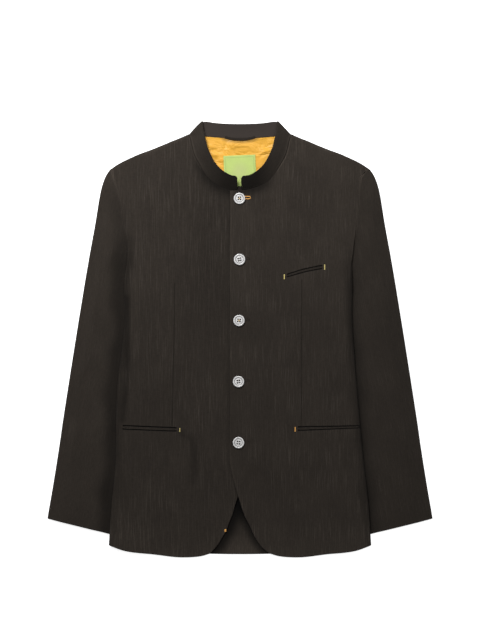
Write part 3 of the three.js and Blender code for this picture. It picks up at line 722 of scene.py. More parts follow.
class Nodes:
    """Adds nodes to a tree and links them."""

    def __init__(self, tree):
        self.tree = tree

    def put(self, target, value):
        if isinstance(value, bpy.types.NodeSocket):
            self.tree.links.new(value, target)
        elif value is not None:
            target.default_value = value

    def add(self, kind, inputs=None, **settings):
        node = self.tree.nodes.new(kind if kind.startswith("NodeGroup") else f"ShaderNode{kind}")
        for key, value in settings.items():
            setattr(node, key, value)
        for key, value in (inputs or {}).items():
            self.put(node.inputs[key], value)
        return node

    def math(self, operation, *values, clamp=False):
        node = self.tree.nodes.new("ShaderNodeMath")
        node.operation = operation
        node.use_clamp = clamp
        for socket, value in zip(node.inputs, values):
            self.put(socket, value)
        return node.outputs[0]

    def vector(self, operation, *values, scale=None):
        node = self.tree.nodes.new("ShaderNodeVectorMath")
        node.operation = operation
        for socket, value in zip(node.inputs, values):
            self.put(socket, value)
        if scale is not None:
            self.put(node.inputs["Scale"], scale)
        return node.outputs["Value" if operation in ("LENGTH", "DOT_PRODUCT") else "Vector"]

    def span(self, value, low, high, to_low=0.0, to_high=1.0):
        node = self.tree.nodes.new("ShaderNodeMapRange")
        node.interpolation_type = "SMOOTHSTEP"
        for key, item in (
            ("Value", value), ("From Min", low), ("From Max", high), ("To Min", to_low), ("To Max", to_high),
        ):
            self.put(node.inputs[key], item)
        return node.outputs["Result"]

    def noise(self, vector, scale, detail=2.0, roughness=0.5, distortion=0.0):
        node = self.add(
            "TexNoise",
            {"Vector": vector, "Scale": scale, "Detail": detail, "Roughness": roughness, "Distortion": distortion},
            noise_dimensions="3D",
        )
        return node.outputs["Fac"]

    def colour_mix(self, factor, a, b, blend="MIX"):
        node = self.tree.nodes.new("ShaderNodeMix")
        node.data_type = "RGBA"
        node.blend_type = blend
        node.clamp_factor = True
        for socket, value in zip((node.inputs[0], node.inputs[6], node.inputs[7]), (factor, a, b)):
            self.put(socket, value)
        return node.outputs[2]

    def use(self, tree, inputs):
        node = self.tree.nodes.new("ShaderNodeGroup")
        node.node_tree = tree
        for key, value in inputs.items():
            self.put(node.inputs[key], value)
        return node


def grey(n, value):
    return n.add("CombineColor", {"Red": value, "Green": value, "Blue": value}).outputs[0]


def once(make):
    """Builds a shared group the first time that it is asked for."""
    def get():
        name = make.__doc__.split(":")[0]
        return bpy.data.node_groups.get(name) or make(name)
    return get


@once
def slub_weave(name):
    """Slub weave: pale uneven threads along the grain over a fine weave. Place is in metres along the cloth."""
    tree, n, i, o = group(name, [
        ("Place", "Vector", None),
        ("Cloth", "Color", (0.03, 0.026, 0.022, 1)),
        ("Streak", "Color", (0.07, 0.06, 0.05, 1)),
        ("Strength", "Float", 1.0),
        ("Seed", "Float", 0.0),
    ], [("Color", "Color"), ("Height", "Float"), ("Roughness", "Float")])
    place = n.vector("ADD", i["Place"], n.add("CombineXYZ", {"X": 0.0, "Y": 0.0, "Z": i["Seed"]}).outputs[0])
    split = n.add("SeparateXYZ", {"Vector": place}).outputs
    wander = n.noise(n.vector("MULTIPLY", place, (14, 20, 1)), 1.0, detail=1)
    wander = n.math("MULTIPLY", n.math("SUBTRACT", wander, 0.5), 0.004)
    across = n.math("ADD", split["X"], wander)
    threads = n.add("CombineXYZ", {
        "X": n.math("MULTIPLY", across, 760.0),
        "Y": n.math("MULTIPLY", split["Y"], 22.0),
        "Z": split["Z"],
    }).outputs[0]
    streak = n.span(n.noise(threads, 1.0, detail=1, roughness=0.4), 0.46, 0.78)
    fine = n.add("CombineXYZ", {
        "X": n.math("MULTIPLY", across, 900.0),
        "Y": n.math("MULTIPLY", split["Y"], 120.0),
        "Z": n.math("ADD", split["Z"], 7.0),
    }).outputs[0]
    hair = n.noise(fine, 1.0, detail=2)
    patch = n.span(n.noise(n.vector("MULTIPLY", place, (16, 11, 1)), 1.0, detail=2), 0.34, 0.66, 0.35, 1.0)
    mottle = n.noise(n.vector("MULTIPLY", place, (20, 14, 1)), 1.0, detail=2)
    cross = n.add("CombineXYZ", {
        "X": n.math("MULTIPLY", split["X"], 160.0),
        "Y": n.math("MULTIPLY", split["Y"], 950.0),
        "Z": n.math("ADD", split["Z"], 3.0),
    }).outputs[0]
    weft = n.noise(cross, 1.0, detail=2)
    pale = n.math("MULTIPLY", n.math("MULTIPLY", streak, patch), i["Strength"], clamp=True)
    base = n.colour_mix(pale, i["Cloth"], i["Streak"])
    tone = n.math("ADD", n.span(hair, 0.25, 0.75, 0.86, 1.14), n.span(weft, 0.25, 0.75, -0.07, 0.07))
    tone = n.math("MULTIPLY", tone, n.span(mottle, 0.3, 0.7, 0.94, 1.06))
    n.put(o["Color"], n.colour_mix(1.0, base, grey(n, tone), "MULTIPLY"))
    relief = n.math("ADD", n.math("MULTIPLY", pale, 0.7), n.math("MULTIPLY", n.math("ADD", hair, weft), 0.3))
    n.put(o["Height"], relief)
    n.put(o["Roughness"], n.span(hair, 0.2, 0.8, 0.82, 0.95))
    return tree


@once
def sewn_line(name):
    """Sewn line: how near a place is to the line from A to B, 1 on it and 0 at Width and beyond."""
    tree, n, i, o = group(name, [
        ("Place", "Vector", None),
        ("A", "Vector", None),
        ("B", "Vector", None),
        ("Width", "Float", 0.002),
    ], [("Mask", "Float"), ("Far", "Float")])
    ap = n.vector("SUBTRACT", i["Place"], i["A"])
    ab = n.vector("SUBTRACT", i["B"], i["A"])
    t = n.math("DIVIDE", n.vector("DOT_PRODUCT", ap, ab), n.vector("DOT_PRODUCT", ab, ab), clamp=True)
    nearest = n.vector("SCALE", ab, scale=t)
    far = n.vector("LENGTH", n.vector("SUBTRACT", ap, nearest))
    n.put(o["Mask"], n.span(n.math("DIVIDE", far, i["Width"]), 0.35, 1.0, 1.0, 0.0))
    n.put(o["Far"], far)
    return tree


@once
def plain_weave(name):
    """Plain weave: fine crossing threads with slow changes of tone. Place is in metres."""
    tree, n, i, o = group(name, [
        ("Place", "Vector", None),
        ("Cloth", "Color", (0.8, 0.4, 0.1, 1)),
        ("Threads", "Float", 1500.0),
        ("Contrast", "Float", 0.12),
    ], [("Color", "Color"), ("Height", "Float")])
    split = n.add("SeparateXYZ", {"Vector": n.vector("SCALE", i["Place"], scale=i["Threads"])}).outputs
    warp = n.math("SINE", n.math("MULTIPLY", split["X"], 3.1416))
    weft = n.math("SINE", n.math("MULTIPLY", split["Y"], 3.1416))
    weave = n.math("MULTIPLY", warp, weft)
    soft = n.noise(n.vector("MULTIPLY", i["Place"], (60, 60, 1)), 1.0, detail=3)
    tone = n.math("ADD", 1.0, n.math("MULTIPLY", weave, n.math("MULTIPLY", i["Contrast"], 0.5)))
    tone = n.math("ADD", tone, n.math("MULTIPLY", n.math("SUBTRACT", soft, 0.5), i["Contrast"]))
    n.put(o["Color"], n.colour_mix(1.0, i["Cloth"], grey(n, tone), "MULTIPLY"))
    n.put(o["Height"], weave)
    return tree


# Materials


def start_material(name, roughness=0.9, **sockets):
    material = bpy.data.materials.new(name)
    material.use_nodes = True
    n = Nodes(material.node_tree)
    shader = material.node_tree.nodes["Principled BSDF"]
    shader.inputs["Roughness"].default_value = roughness
    for key, value in sockets.items():
        shader.inputs[key.replace("_", " ")].default_value = value
    return material, n, shader.inputs


def grain_place(n):
    return n.add("UVMap", uv_map="grain").outputs["UV"]


def bump(n, height, distance, strength=1.0, normal=None):
    node = n.add("Bump", {"Height": height, "Strength": strength, "Distance": distance})
    if normal is not None:
        n.put(node.inputs["Normal"], normal)
    return node.outputs["Normal"]


# The shade attribute is painted light and shade, multiplied into a material's colour
def point_shade(n):
    return n.add("Attribute", attribute_name="shade", attribute_type="GEOMETRY").outputs["Fac"]


def shell_cloth(name, strength=1.0, seed=0.0, grooves=(), darts=(), tone=1.0, facing=False):
    """Dark slub cloth. grooves are sunken lines beside a pocket's jets, darts are sewn tucks: x1, y1, x2, y2.
    facing makes the inner face of the collar a little paler."""
    material, n, shader = start_material(name, 0.9, Sheen_Weight=0.03, Sheen_Roughness=0.5, Specular_IOR_Level=0.1)
    place = grain_place(n)
    cloth = [c * tone for c in colours().cloth[:3]] + [1]
    weave = n.use(slub_weave(), {
        "Place": place, "Cloth": cloth, "Streak": list(colours().streak), "Strength": strength, "Seed": seed,
    }).outputs
    n.put(shader["Roughness"], weave["Roughness"])
    normal = bump(n, weave["Height"], 0.0003, 0.7)
    colour_out = n.colour_mix(1.0, weave["Color"], grey(n, point_shade(n)), "MULTIPLY")
    # The pocket grooves are painted shade, near black, beside the jets; the darts are darker sewn lines
    for lines, width, dark, depth in ((grooves, 0.0020, 0.9, 0.0012), (darts, 0.0014, 0.3, 0.0005)):
        for x1, y1, x2, y2 in lines:
            line = n.use(sewn_line(), {
                "Place": place, "A": (x1 * MM, y1 * MM, 0), "B": (x2 * MM, y2 * MM, 0), "Width": width,
            }).outputs
            mask = n.math("MULTIPLY", line["Mask"], dark)
            colour_out = n.colour_mix(mask, colour_out, (0.0008, 0.0006, 0.0005, 1))
            normal = bump(n, n.math("SUBTRACT", 1.0, line["Mask"]), depth, 0.9, normal)
    if facing:
        inner = n.span(n.add("SeparateXYZ", {"Vector": place}).outputs["X"], 0.034, 0.038)
        colour_out = n.colour_mix(n.math("MULTIPLY", inner, 0.66), colour_out, (0.050, 0.041, 0.037, 1))
    n.put(shader["Base Color"], colour_out)
    n.put(shader["Normal"], normal)
    return material


def lining_cloth():
    material, n, shader = start_material("lining cloth", 0.5, Sheen_Weight=0.15, Specular_IOR_Level=0.4)
    place = grain_place(n)
    weave = n.use(plain_weave(), {
        "Place": place, "Cloth": list(colours().lining), "Threads": 1600.0, "Contrast": 0.16,
    }).outputs
    n.put(shader["Base Color"], n.colour_mix(1.0, weave["Color"], grey(n, point_shade(n)), "MULTIPLY"))
    wrinkle = n.noise(n.vector("MULTIPLY", place, (24, 50, 1)), 1.0, detail=2, distortion=0.8)
    normal = bump(n, wrinkle, 0.0075, 1.0)
    n.put(shader["Normal"], bump(n, weave["Height"], 0.00008, 0.6, normal))
    n.put(shader["Roughness"], n.span(wrinkle, 0.3, 0.7, 0.42, 0.6))
    return material


def label_cloth():
    """Green woven label, bare inside a darker woven border."""
    material, n, shader = start_material("label cloth", 0.6, Specular_IOR_Level=0.35)
    place = grain_place(n)
    weave = n.use(plain_weave(), {
        "Place": place, "Cloth": list(colours().label), "Threads": 2100.0, "Contrast": 0.18,
    }).outputs
    split = n.add("SeparateXYZ", {"Vector": place}).outputs
    x = n.math("ABSOLUTE", split["X"])
    y = n.math("ABSOLUTE", split["Y"])
    edge = n.math("MAXIMUM", x, y)
    border = n.math("MULTIPLY", n.span(edge, 0.0242, 0.0246), n.span(edge, 0.0257, 0.0261, 1.0, 0.0))
    centre = n.span(n.vector("LENGTH", place), 0.004, 0.022, 0.34, 0.0)
    base = n.colour_mix(centre, weave["Color"], (0.47, 0.47, 0.25, 1))
    n.put(shader["Base Color"], n.colour_mix(n.math("MULTIPLY", border, 0.45), base, (0.30, 0.42, 0.12, 1)))
    n.put(shader["Normal"], bump(n, n.math("ADD", weave["Height"], border), 0.0001, 0.7))
    return material


def pearl(name, seed):
    material, n, shader = start_material(name, 0.28, Coat_Roughness=0.15)
    place = n.vector("ADD", n.add("TexCoord").outputs["Object"], (seed, 0, 0))
    cloud = n.noise(n.vector("MULTIPLY", place, (240, 190, 150)), 1.0, detail=3, distortion=1.4)
    band = n.noise(n.vector("MULTIPLY", place, (90, 420, 90)), 1.0, detail=2, distortion=0.8)
    light, dark = ([min(1, c * k) for c in colours().pearl[:3]] + [1] for k in (1.25, 0.85))
    base = n.colour_mix(n.span(cloud, 0.3, 0.7), dark, light)
    base = n.colour_mix(n.span(band, 0.45, 0.75, 0.0, 0.35), base, (0.55, 0.55, 0.60, 1))
    # The points' painted shade darkens the colour and weakens the coat under the rim, in the groove and in the holes
    shade = point_shade(n)
    n.put(shader["Base Color"], n.colour_mix(1.0, base, grey(n, shade), "MULTIPLY"))
    n.put(shader["Coat Weight"], n.math("MULTIPLY", shade, n.span(cloud, 0.2, 0.8, 0.25, 0.5)))
    n.put(shader["Roughness"], n.span(band, 0.3, 0.7, 0.25, 0.4))
    n.put(shader["Normal"], bump(n, cloud, 0.00012, 0.4))
    return material


def thread_material(name, tint, gloss=0.4):
    material, n, shader = start_material(name, 0.55, Sheen_Weight=gloss / 2, Specular_IOR_Level=gloss)
    place = n.add("TexCoord").outputs["Object"]
    twist = n.noise(n.vector("MULTIPLY", place, (2600, 2600, 2600)), 1.0, detail=2)
    dark = [c * 0.6 for c in tint[:3]] + [1]
    n.put(shader["Base Color"], n.colour_mix(n.span(twist, 0.3, 0.7), dark, list(tint[:3]) + [1]))
    n.put(shader["Normal"], bump(n, twist, 0.00008, 0.8))
    return material


def node_tree_of(node):
    return tree_of(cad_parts[node])


def sleeve_uv(half, xy):
    """Distances across and along a sleeve, whose grain leans away from the body."""
    lean = SIGN[half] * SLEEVE_LEAN
    x, y = xy[..., 0], xy[..., 1]
    return np.stack([x * math.cos(lean) + y * math.sin(lean), y * math.cos(lean) - x * math.sin(lean)], axis=-1)


# Sleeves


def sleeve_sections(half, fold_inset):
    x, y = ARMHOLE[half][-2]
    tucked = (x - SLEEVE_TUCK, y)
    front_edge = curve_points(ARMHOLE[half])[::-1]
    start = (float(np.interp(y + TUCK_RUN, front_edge[:, 1], front_edge[:, 0])), y + TUCK_RUN)
    seam = on_side(half, [*ARMHOLE[half][:-2], start, tucked])
    underarm = on_side(half, [tucked, *UNDERARM])
    hidden = moved(half, on_side(half, SLEEVE_HIDDEN), fold_inset)
    lower = on_side(half, SLEEVE_LOWER)
    starts = [(seam, 0, 1), (underarm, 0, 1), (hidden, 0, 1)]
    ends = [(on_side(half, SLEEVE_OUTER), 0, 1), (lower, 0, 0.2), (lower, 0.2, 1)]
    return starts, ends


def make_under_sleeve(half):
    wall = sizes().sleeve_wall / MM
    step = sizes().back_step / MM
    starts, ends = sleeve_sections(half, EDGE + GAP)
    ends = [(moved(half, table, -EDGE - GAP), low, high) for table, low, high in ends]
    ends[0] = ([(starts[0][0][0][0] + SIGN[half] * 1.5, ends[0][0][0][1]), *ends[0][0][1:]], 0, 1)
    xy = panel_grid(starts, ends, step=step)
    lift = np.maximum(0, crease_field(xy, UNDER_CREASES[half]) + 0.1 * ripple(xy, 60, 2)) * sizes().crease_depth
    low = GROUND + lift
    high = low + wall
    material = shell_cloth(f"under sleeve cloth {half}", 0.7, 11.0 if half == "left" else 12.0)
    name = f"under_sleeve_{half}_cloth"
    finish_sheet(name, f"under_sleeve_{half}", xy, high, low, wall, sleeve_uv(half, xy), material)


def sleeve_crown(half, xy):
    """The soft roundness of the sleeve between the body and its outer fold."""
    x, y = SIGN[half] * xy[..., 0], xy[..., 1]
    inner = np.vectorize(lambda v: body_edge(half, v))(y)
    outer = np.linalg.norm(xy - xy[:, -1:], axis=2)
    rise = lambda t: np.sin(math.pi / 2 * np.clip(t, 0, 1)) ** 2
    head = 0.35 + 0.65 * rise((290 - y) / 120)
    cuff = 0.55 + 0.45 * rise((y + 330) / 120)
    crown = SLEEVE_CROWN * rise((x - inner) / 34) * rise(outer / 30) * head * cuff
    sewn = stops_at(SLEEVE_HEAD, y) * rise(outer / 12)
    return crown + sewn * np.exp(-((np.maximum(0, x - inner) / 26) ** 2))


def edge_shade(half, piece, xy):
    """Shade beside the body's edge, on the front or on the sleeve."""
    x, y = SIGN[half] * xy[..., 0], xy[..., 1]
    inner = np.vectorize(lambda v: body_edge(half, v))(y)
    away = np.maximum(0, inner - x if piece == "body" else x - inner)
    away = away * (1 + 0.16 * np.sin(y / 31 + 1) + 0.12 * np.sin(y / 13))
    share = stops_at(EDGE_SHADE_RUN[half][piece], y) * (0.93 + 0.07 * np.sin(y / 23 + 2))
    # painted light along the armhole seam
    seam = softened(stops_at(ARMHOLE_SHADE, away), stops_at(ARMHOLE_RUN, y))
    return seam * softened(stops_at(EDGE_SHADE[half][piece], away), share)


def make_top_sleeve(half):
    wall = sizes().sleeve_wall / MM
    starts, ends = sleeve_sections(half, 0)
    xy = panel_grid(starts, ends, step=sizes().front_step / MM)
    node = f"top_sleeve_{half}"
    top = top_of(node_tree_of(node), xy)
    crease = (crease_field(xy, SLEEVE_CREASES[half]) + 0.16 * ripple(xy, 34, 5)) * sizes().crease_depth
    crease += sleeve_crown(half, xy)
    under = [BUILT[f"under_sleeve_{half}_cloth"]]
    high, low = sheet_heights(xy, top, wall, folds=("end",), under=under, crease=crease)
    # The top sleeves are lit and shaded copies of one cloth: their tone is painted light
    seed, tone = (1.0, 0.93) if half == "left" else (2.0, 1.09)
    material = shell_cloth(f"top sleeve cloth {half}", 0.45, seed, tone=tone)
    name = f"top_sleeve_{half}_cloth"
    uv = sleeve_uv(half, xy)
    # Painted shade beside the body, painted light along the armhole, and painted light that grows towards the shoulder
    finish_sheet(name, node, xy, high, low, wall, uv, material, folds=("end",), seams=[("start", 136, 306)],
                 shade=edge_shade(half, "sleeve", xy) * np.maximum(1, stops_at(SLOPE_SHADE, np.maximum(0, xy[..., 1]))))


# Back and neck


def back_sections(half):
    tip = SHOULDER[-1][1] - SHOULDER_DROP
    armhole = [(body_edge(half, tip) - GAP, tip)]
    armhole += [(x - GAP / 2, y) for x, y in ARMHOLE[half][1:-1] if y < tip - 4]
    armhole += [(body_edge(half, y) - GAP / 2, y) for y in (158, 144)]
    side = [(x - EDGE - GAP, y) for x, y in side_line(half)]
    armhole.append(side[0])
    return [(on_side(half, armhole), 0, 1), (on_side(half, side), 0, 1)]


def back_top():
    shoulder = [(x, y - SHOULDER_DROP) for x, y in SHOULDER[:-1]]
    tip_y = SHOULDER[-1][1] - SHOULDER_DROP
    right = on_side("right", [*shoulder, (body_edge("right", tip_y) - GAP, tip_y)])[::-1]
    left = [*shoulder, (body_edge("left", tip_y) - GAP, tip_y)]
    neck = [(t * NECK_POINT, back_neck(t * NECK_POINT)) for t in (-0.75, -0.4, 0, 0.4, 0.75)]
    return [*right, *neck, *left]


def opening_shade(xy):
    """Shade on the inside of the back between the two fronts at the hem."""
    x, y = xy[..., 0], xy[..., 1]
    shade = stops_at(OPENING_SHADE, y)
    for half, table in (("right", OPENING_RIGHT), ("left", OPENING_LEFT)):
        line = curve_points(on_side(half, CUTAWAY[half]))
        within = SIGN[half] * (x - np.interp(y, line[::-1, 1], line[::-1, 0])) < 0
        shade = shade * stops_at(table, np.where(within, distance_to(line, xy), 0))
    return shade


def make_back():
    wall = sizes().back_wall / MM
    starts, ends = back_sections("right"), back_sections("left")
    xy = panel_grid(starts, ends, back_top(), BACK_HEM, step=sizes().back_step / MM)
    top = top_of(node_tree_of("back"), xy)
    crease = (crease_field(xy, BACK_CREASES) + 0.25 * ripple(xy, 48, 3)) * sizes().crease_depth
    under = [BUILT["top_sleeve_left_cloth"], BUILT["top_sleeve_right_cloth"]]
    high, low = sheet_heights(xy, top, wall, under=under, crease=np.maximum(0, crease))
    material = shell_cloth("back cloth", 0.8, 4.0)
    finish_sheet("back_cloth", "back", xy, high, low, wall, xy, material, shade=opening_shade(xy))


def make_lining():
    wall = sizes().lining_wall / MM
    starts = [(on_side("right", LINING_SIDE), 0, 1)]
    ends = [(LINING_SIDE, 0, 1)]
    xs = [t * LINING_SIDE[0][0] for t in (-1, -0.5, 0, 0.5, 1)]
    top_line = [(x, back_neck(x) - LINING_DROP) for x in xs]
    xy = panel_grid(starts, ends, top_line, None, step=1.8)
    top = top_of(node_tree_of("back_lining"), xy)
    crease = np.maximum(-0.1, 2.6 * crease_field(xy, LINING_CREASES)) + 0.15 + 0.3 * ripple(xy, 14, 1)
    high, low = sheet_heights(xy, top, wall, under=[BUILT["back_cloth"]], crease=crease * sizes().crease_depth)
    # painted shadow under the hanger loop
    shade = stops_at(LOOP_SHADE, distance_to(loop_line(np.linspace(-1, 1, 25)), xy))
    finish_sheet("back_lining_cloth", "back_lining", xy, high, low, wall, xy, lining_cloth(),
                 shade=shade)


def make_label():
    wall = sizes().lining_wall / MM
    half, y, turn = 28.5, 299.5, math.radians(2.5)
    place = lambda a, b: (a * math.cos(turn) - b * math.sin(turn), y + a * math.sin(turn) + b * math.cos(turn))
    starts = [([place(-half, half), place(-half, -half)], 0, 1)]
    ends = [([place(half, half), place(half, -half)], 0, 1)]
    xy = panel_grid(starts, ends, step=2.0)
    top = top_of(node_tree_of("neck_label"), xy)
    crease = 0.12 * ripple(xy, 15, 4)
    high, low = sheet_heights(xy, top, wall, under=[BUILT["back_lining_cloth"]], crease=crease, gap=0.05)
    away = xy - np.array([0, y])
    uv = np.stack([away[..., 0] * math.cos(turn) + away[..., 1] * math.sin(turn),
                   away[..., 1] * math.cos(turn) - away[..., 0] * math.sin(turn)], axis=-1)
    finish_sheet("neck_label_cloth", "neck_label", xy, high, low, wall, uv, label_cloth())


def loop_line(t):
    return np.column_stack([LOOP["half"] * t, LOOP["y"] - LOOP["sag"] * (1 - t**2)])


def make_loop():
    top = top_of(node_tree_of("hanger_loop"), np.array([[0, 356.1]]))[0]
    t = np.linspace(-1, 1, 61)
    path = np.column_stack([loop_line(t), top - 0.9 + 0.7 * (1 - t**8)])
    points, faces = tube(path, 2.3, 0.55, sides=20, power=(0.6, 0.8))
    material = shell_cloth("loop cloth", 0.5, 21.0, tone=0.9)
    settle(object_of("hanger_loop_cloth", points, faces, points[:, [1, 0]], material), "hanger_loop")


# Fronts


def front_sections(half):
    neck = [(x, y) for x, y, *_ in COLLAR_FRONT] + NECK_END[half]
    seam = ARMHOLE[half]
    side = side_line(half)
    starts = [(neck, 0, 1), ([FRONT_CORNER, EDGE_END], 0, 1), (CUTAWAY[half], 0, 1)]
    ends = [(seam, 0, 1), (side, 0, 2 / 3), (side, 2 / 3, 1)]
    place = lambda sections: [(on_side(half, table), low, high) for table, low, high in sections]
    return place(starts), place(ends)


def pocket_line(pocket, offset, steps=12):
    _, _, x1, y1, x2, y2, bow, spread1, spread2 = pocket
    middle = ((x1 + x2) / 2, (y1 + y2) / 2 + bow + offset * (spread1 + spread2) / 2)
    ends = [(x1, y1 + offset * spread1), middle, (x2, y2 + offset * spread2)]
    return along(ends, np.linspace(0, 1, steps + 1))


def pocket_grooves(half):
    lines = []
    for pocket in POCKETS:
        if pocket[1] == half:
            for offset in (2.9, -2.9):
                line = pocket_line(pocket, offset, 2)
                lines += [(*line[0], *line[1]), (*line[1], *line[2])]
    return lines


DARTS = {
    "right": [(-116, 100, -116.5, 26), (-116.5, 26, -120.5, -154)],
    "left": [(110, 106, 109.5, 0), (109.5, 0, 109, -153)],
}


def armhole_edge(xy, high, low, top, wall):
    """Undoes the fold along the armhole, where the front is sewn to the sleeve and keeps its height."""
    level = smooth_field(top[:, -4:-3], 3)
    away = np.linalg.norm(xy - xy[:, -1:], axis=2)
    sewn = np.clip((xy[:, -1:, 1] - 128) / 12, 0, 1) * np.clip((304 - xy[:, -1:, 1]) / 4, 0, 1)
    near = sewn * np.clip(1 - away / FOLD_WIDTH, 0, 1) ** 0.5
    return high + (level - high) * near, low + (level - wall - low) * near


def front_shade(half, xy):
    """Shade at the side of the body and under the collar, with a paler line of edge stitches beside the neck seam."""
    x, y = xy[..., 0], xy[..., 1]
    shade = edge_shade(half, "body", xy)
    if half == "right":
        shade = shade * stops_at(SIDE_FOLD_SHADE, distance_to(curve_points(SIDE_FOLD), xy))
        shade = shade * stops_at(POCKET_FOLD_SHADE, distance_to(curve_points(POCKET_FOLD), xy))
    waist = np.clip((y - 20) / 60, 0, 1)
    shade = shade * stops_at(SLOPE_SHADE, y) * softened(stops_at(CHEST_SHADE, x), waist)
    lap = curve_points(on_side("left", [FRONT_CORNER, EDGE_END, *CUTAWAY["left"][1:4]]))
    shade = shade * stops_at(LAP_SHADE[half], distance_to(lap, xy))
    seam = curve_points(on_side(half, [(a, b) for a, b, *_ in COLLAR_FRONT] + [(COLLAR_END[half], COLLAR_END_SEAM)]))
    away = distance_to(seam, xy)
    shade = shade * softened(stops_at(CHIN_SHADE, away), stops_at(CHIN_RUN, x))
    beside = np.clip((y - 296) / 12, 0, 1) * np.clip((362 - y) / 6, 0, 1) * (1 if half == "left" else 0.7)
    return shade * softened(stops_at(NECK_SEAM_SHADE, away), beside)


def make_front(half):
    wall = sizes().front_wall / MM
    starts, ends = front_sections(half)
    xy = panel_grid(starts, ends, on_side(half, SHOULDER), on_side(half, FRONT_HEM), step=sizes().front_step / MM)
    node = f"front_{half}"
    top = top_of(node_tree_of(node), xy)
    crease = (crease_field(xy, FRONT_CREASES) + 0.22 * ripple(xy, 42, 7)) * sizes().crease_depth
    names = ["back_cloth", "back_lining_cloth", "neck_label_cloth", "top_sleeve_left_cloth", "top_sleeve_right_cloth"]
    if half == "left":
        names.append("front_right_cloth")
    high, low = sheet_heights(xy, top, wall, folds=("first", "end"), under=[BUILT[k] for k in names], crease=crease)
    material = shell_cloth(
        f"front cloth {half}", 1.0, 0.0 if half == "left" else 0.7, pocket_grooves(half), DARTS[half],
    )
    high, low = armhole_edge(xy, high, low, top, wall)
    seams = [("start", 266, 367), ("end", 136, 306)]
    finish_sheet(node + "_cloth", node, xy, high, low, wall, xy, material, folds=("first",), seams=seams,
                 shade=front_shade(half, xy))


# Collar


def collar_stations():
    """Seam and free edge of the band at places around the neck, from the right end to the left one."""
    radius = (COLLAR_SEAM - COLLAR_LOW) / 2
    wall = sizes().collar_wall / MM

    def half_stations(half):
        sign = SIGN[half]
        at = lambda sx, sy, sz, tx, ty, tz: ((sign * sx, sy, sz), (sign * tx, ty, tz))
        rows = [at(sx, sy - COLLAR_LAP, COLLAR_LOW, tx, ty, tz) for sx, sy, tx, ty, tz in COLLAR_BACK]
        sx, sy, tx, ty, tz = COLLAR_FRONT[0]
        size = math.hypot(sx - tx, sy - ty)
        nx, ny = (ty - sy) / size, (sx - tx) / size
        for angle in np.linspace(-math.pi / 2, math.pi / 2, 9):
            inset = wall / 2 + 0.2 + radius * (1 - math.cos(angle))
            part = (1 + math.sin(angle)) / 2
            seam_z = COLLAR_LOW + (COLLAR_SEAM - COLLAR_LOW) * part
            top_z = COLLAR_FOLD_TOP + (tz - COLLAR_FOLD_TOP) * part
            reach = COLLAR_LAP + (4.4 - COLLAR_LAP) * part
            ax, ay = (sx - tx) / size * reach, (sy - ty) / size * reach
            rise_x, rise_y = (tx - sx) / size * COLLAR_PEAK, (ty - sy) / size * COLLAR_PEAK
            slim = wall / 2 + 0.2 + 0.3 * radius * (1 - math.cos(angle))
            rows.append(at(sx + ax - nx * inset, sy + ay - ny * inset, seam_z,
                           tx + rise_x - nx * slim, ty + rise_y - ny * slim, top_z))
        for x1, y1, x2, y2, z2 in COLLAR_FRONT[2:]:
            inset = -COLLAR_TUCK / math.hypot(x2 - x1, y2 - y1)
            rows.append(at(x1 + (x2 - x1) * inset, y1 + (y2 - y1) * inset, COLLAR_SEAM, x2, y2, z2))
        end = COLLAR_END[half]
        near = end + COLLAR_CORNER
        rows.append(at(near, COLLAR_END_SEAM - COLLAR_TUCK, COLLAR_SEAM, near, COLLAR_END_TOP + 0.8, COLLAR_END_HEIGHT))
        low, high = COLLAR_END_SEAM + COLLAR_CORNER, COLLAR_END_TOP - COLLAR_CORNER
        rows.append(at(end, low, COLLAR_SEAM + 1.5, end, high, COLLAR_END_HEIGHT - 1.5))
        return rows

    stations = [*half_stations("right")[1:][::-1], *half_stations("left")]
    return np.array(stations, float)


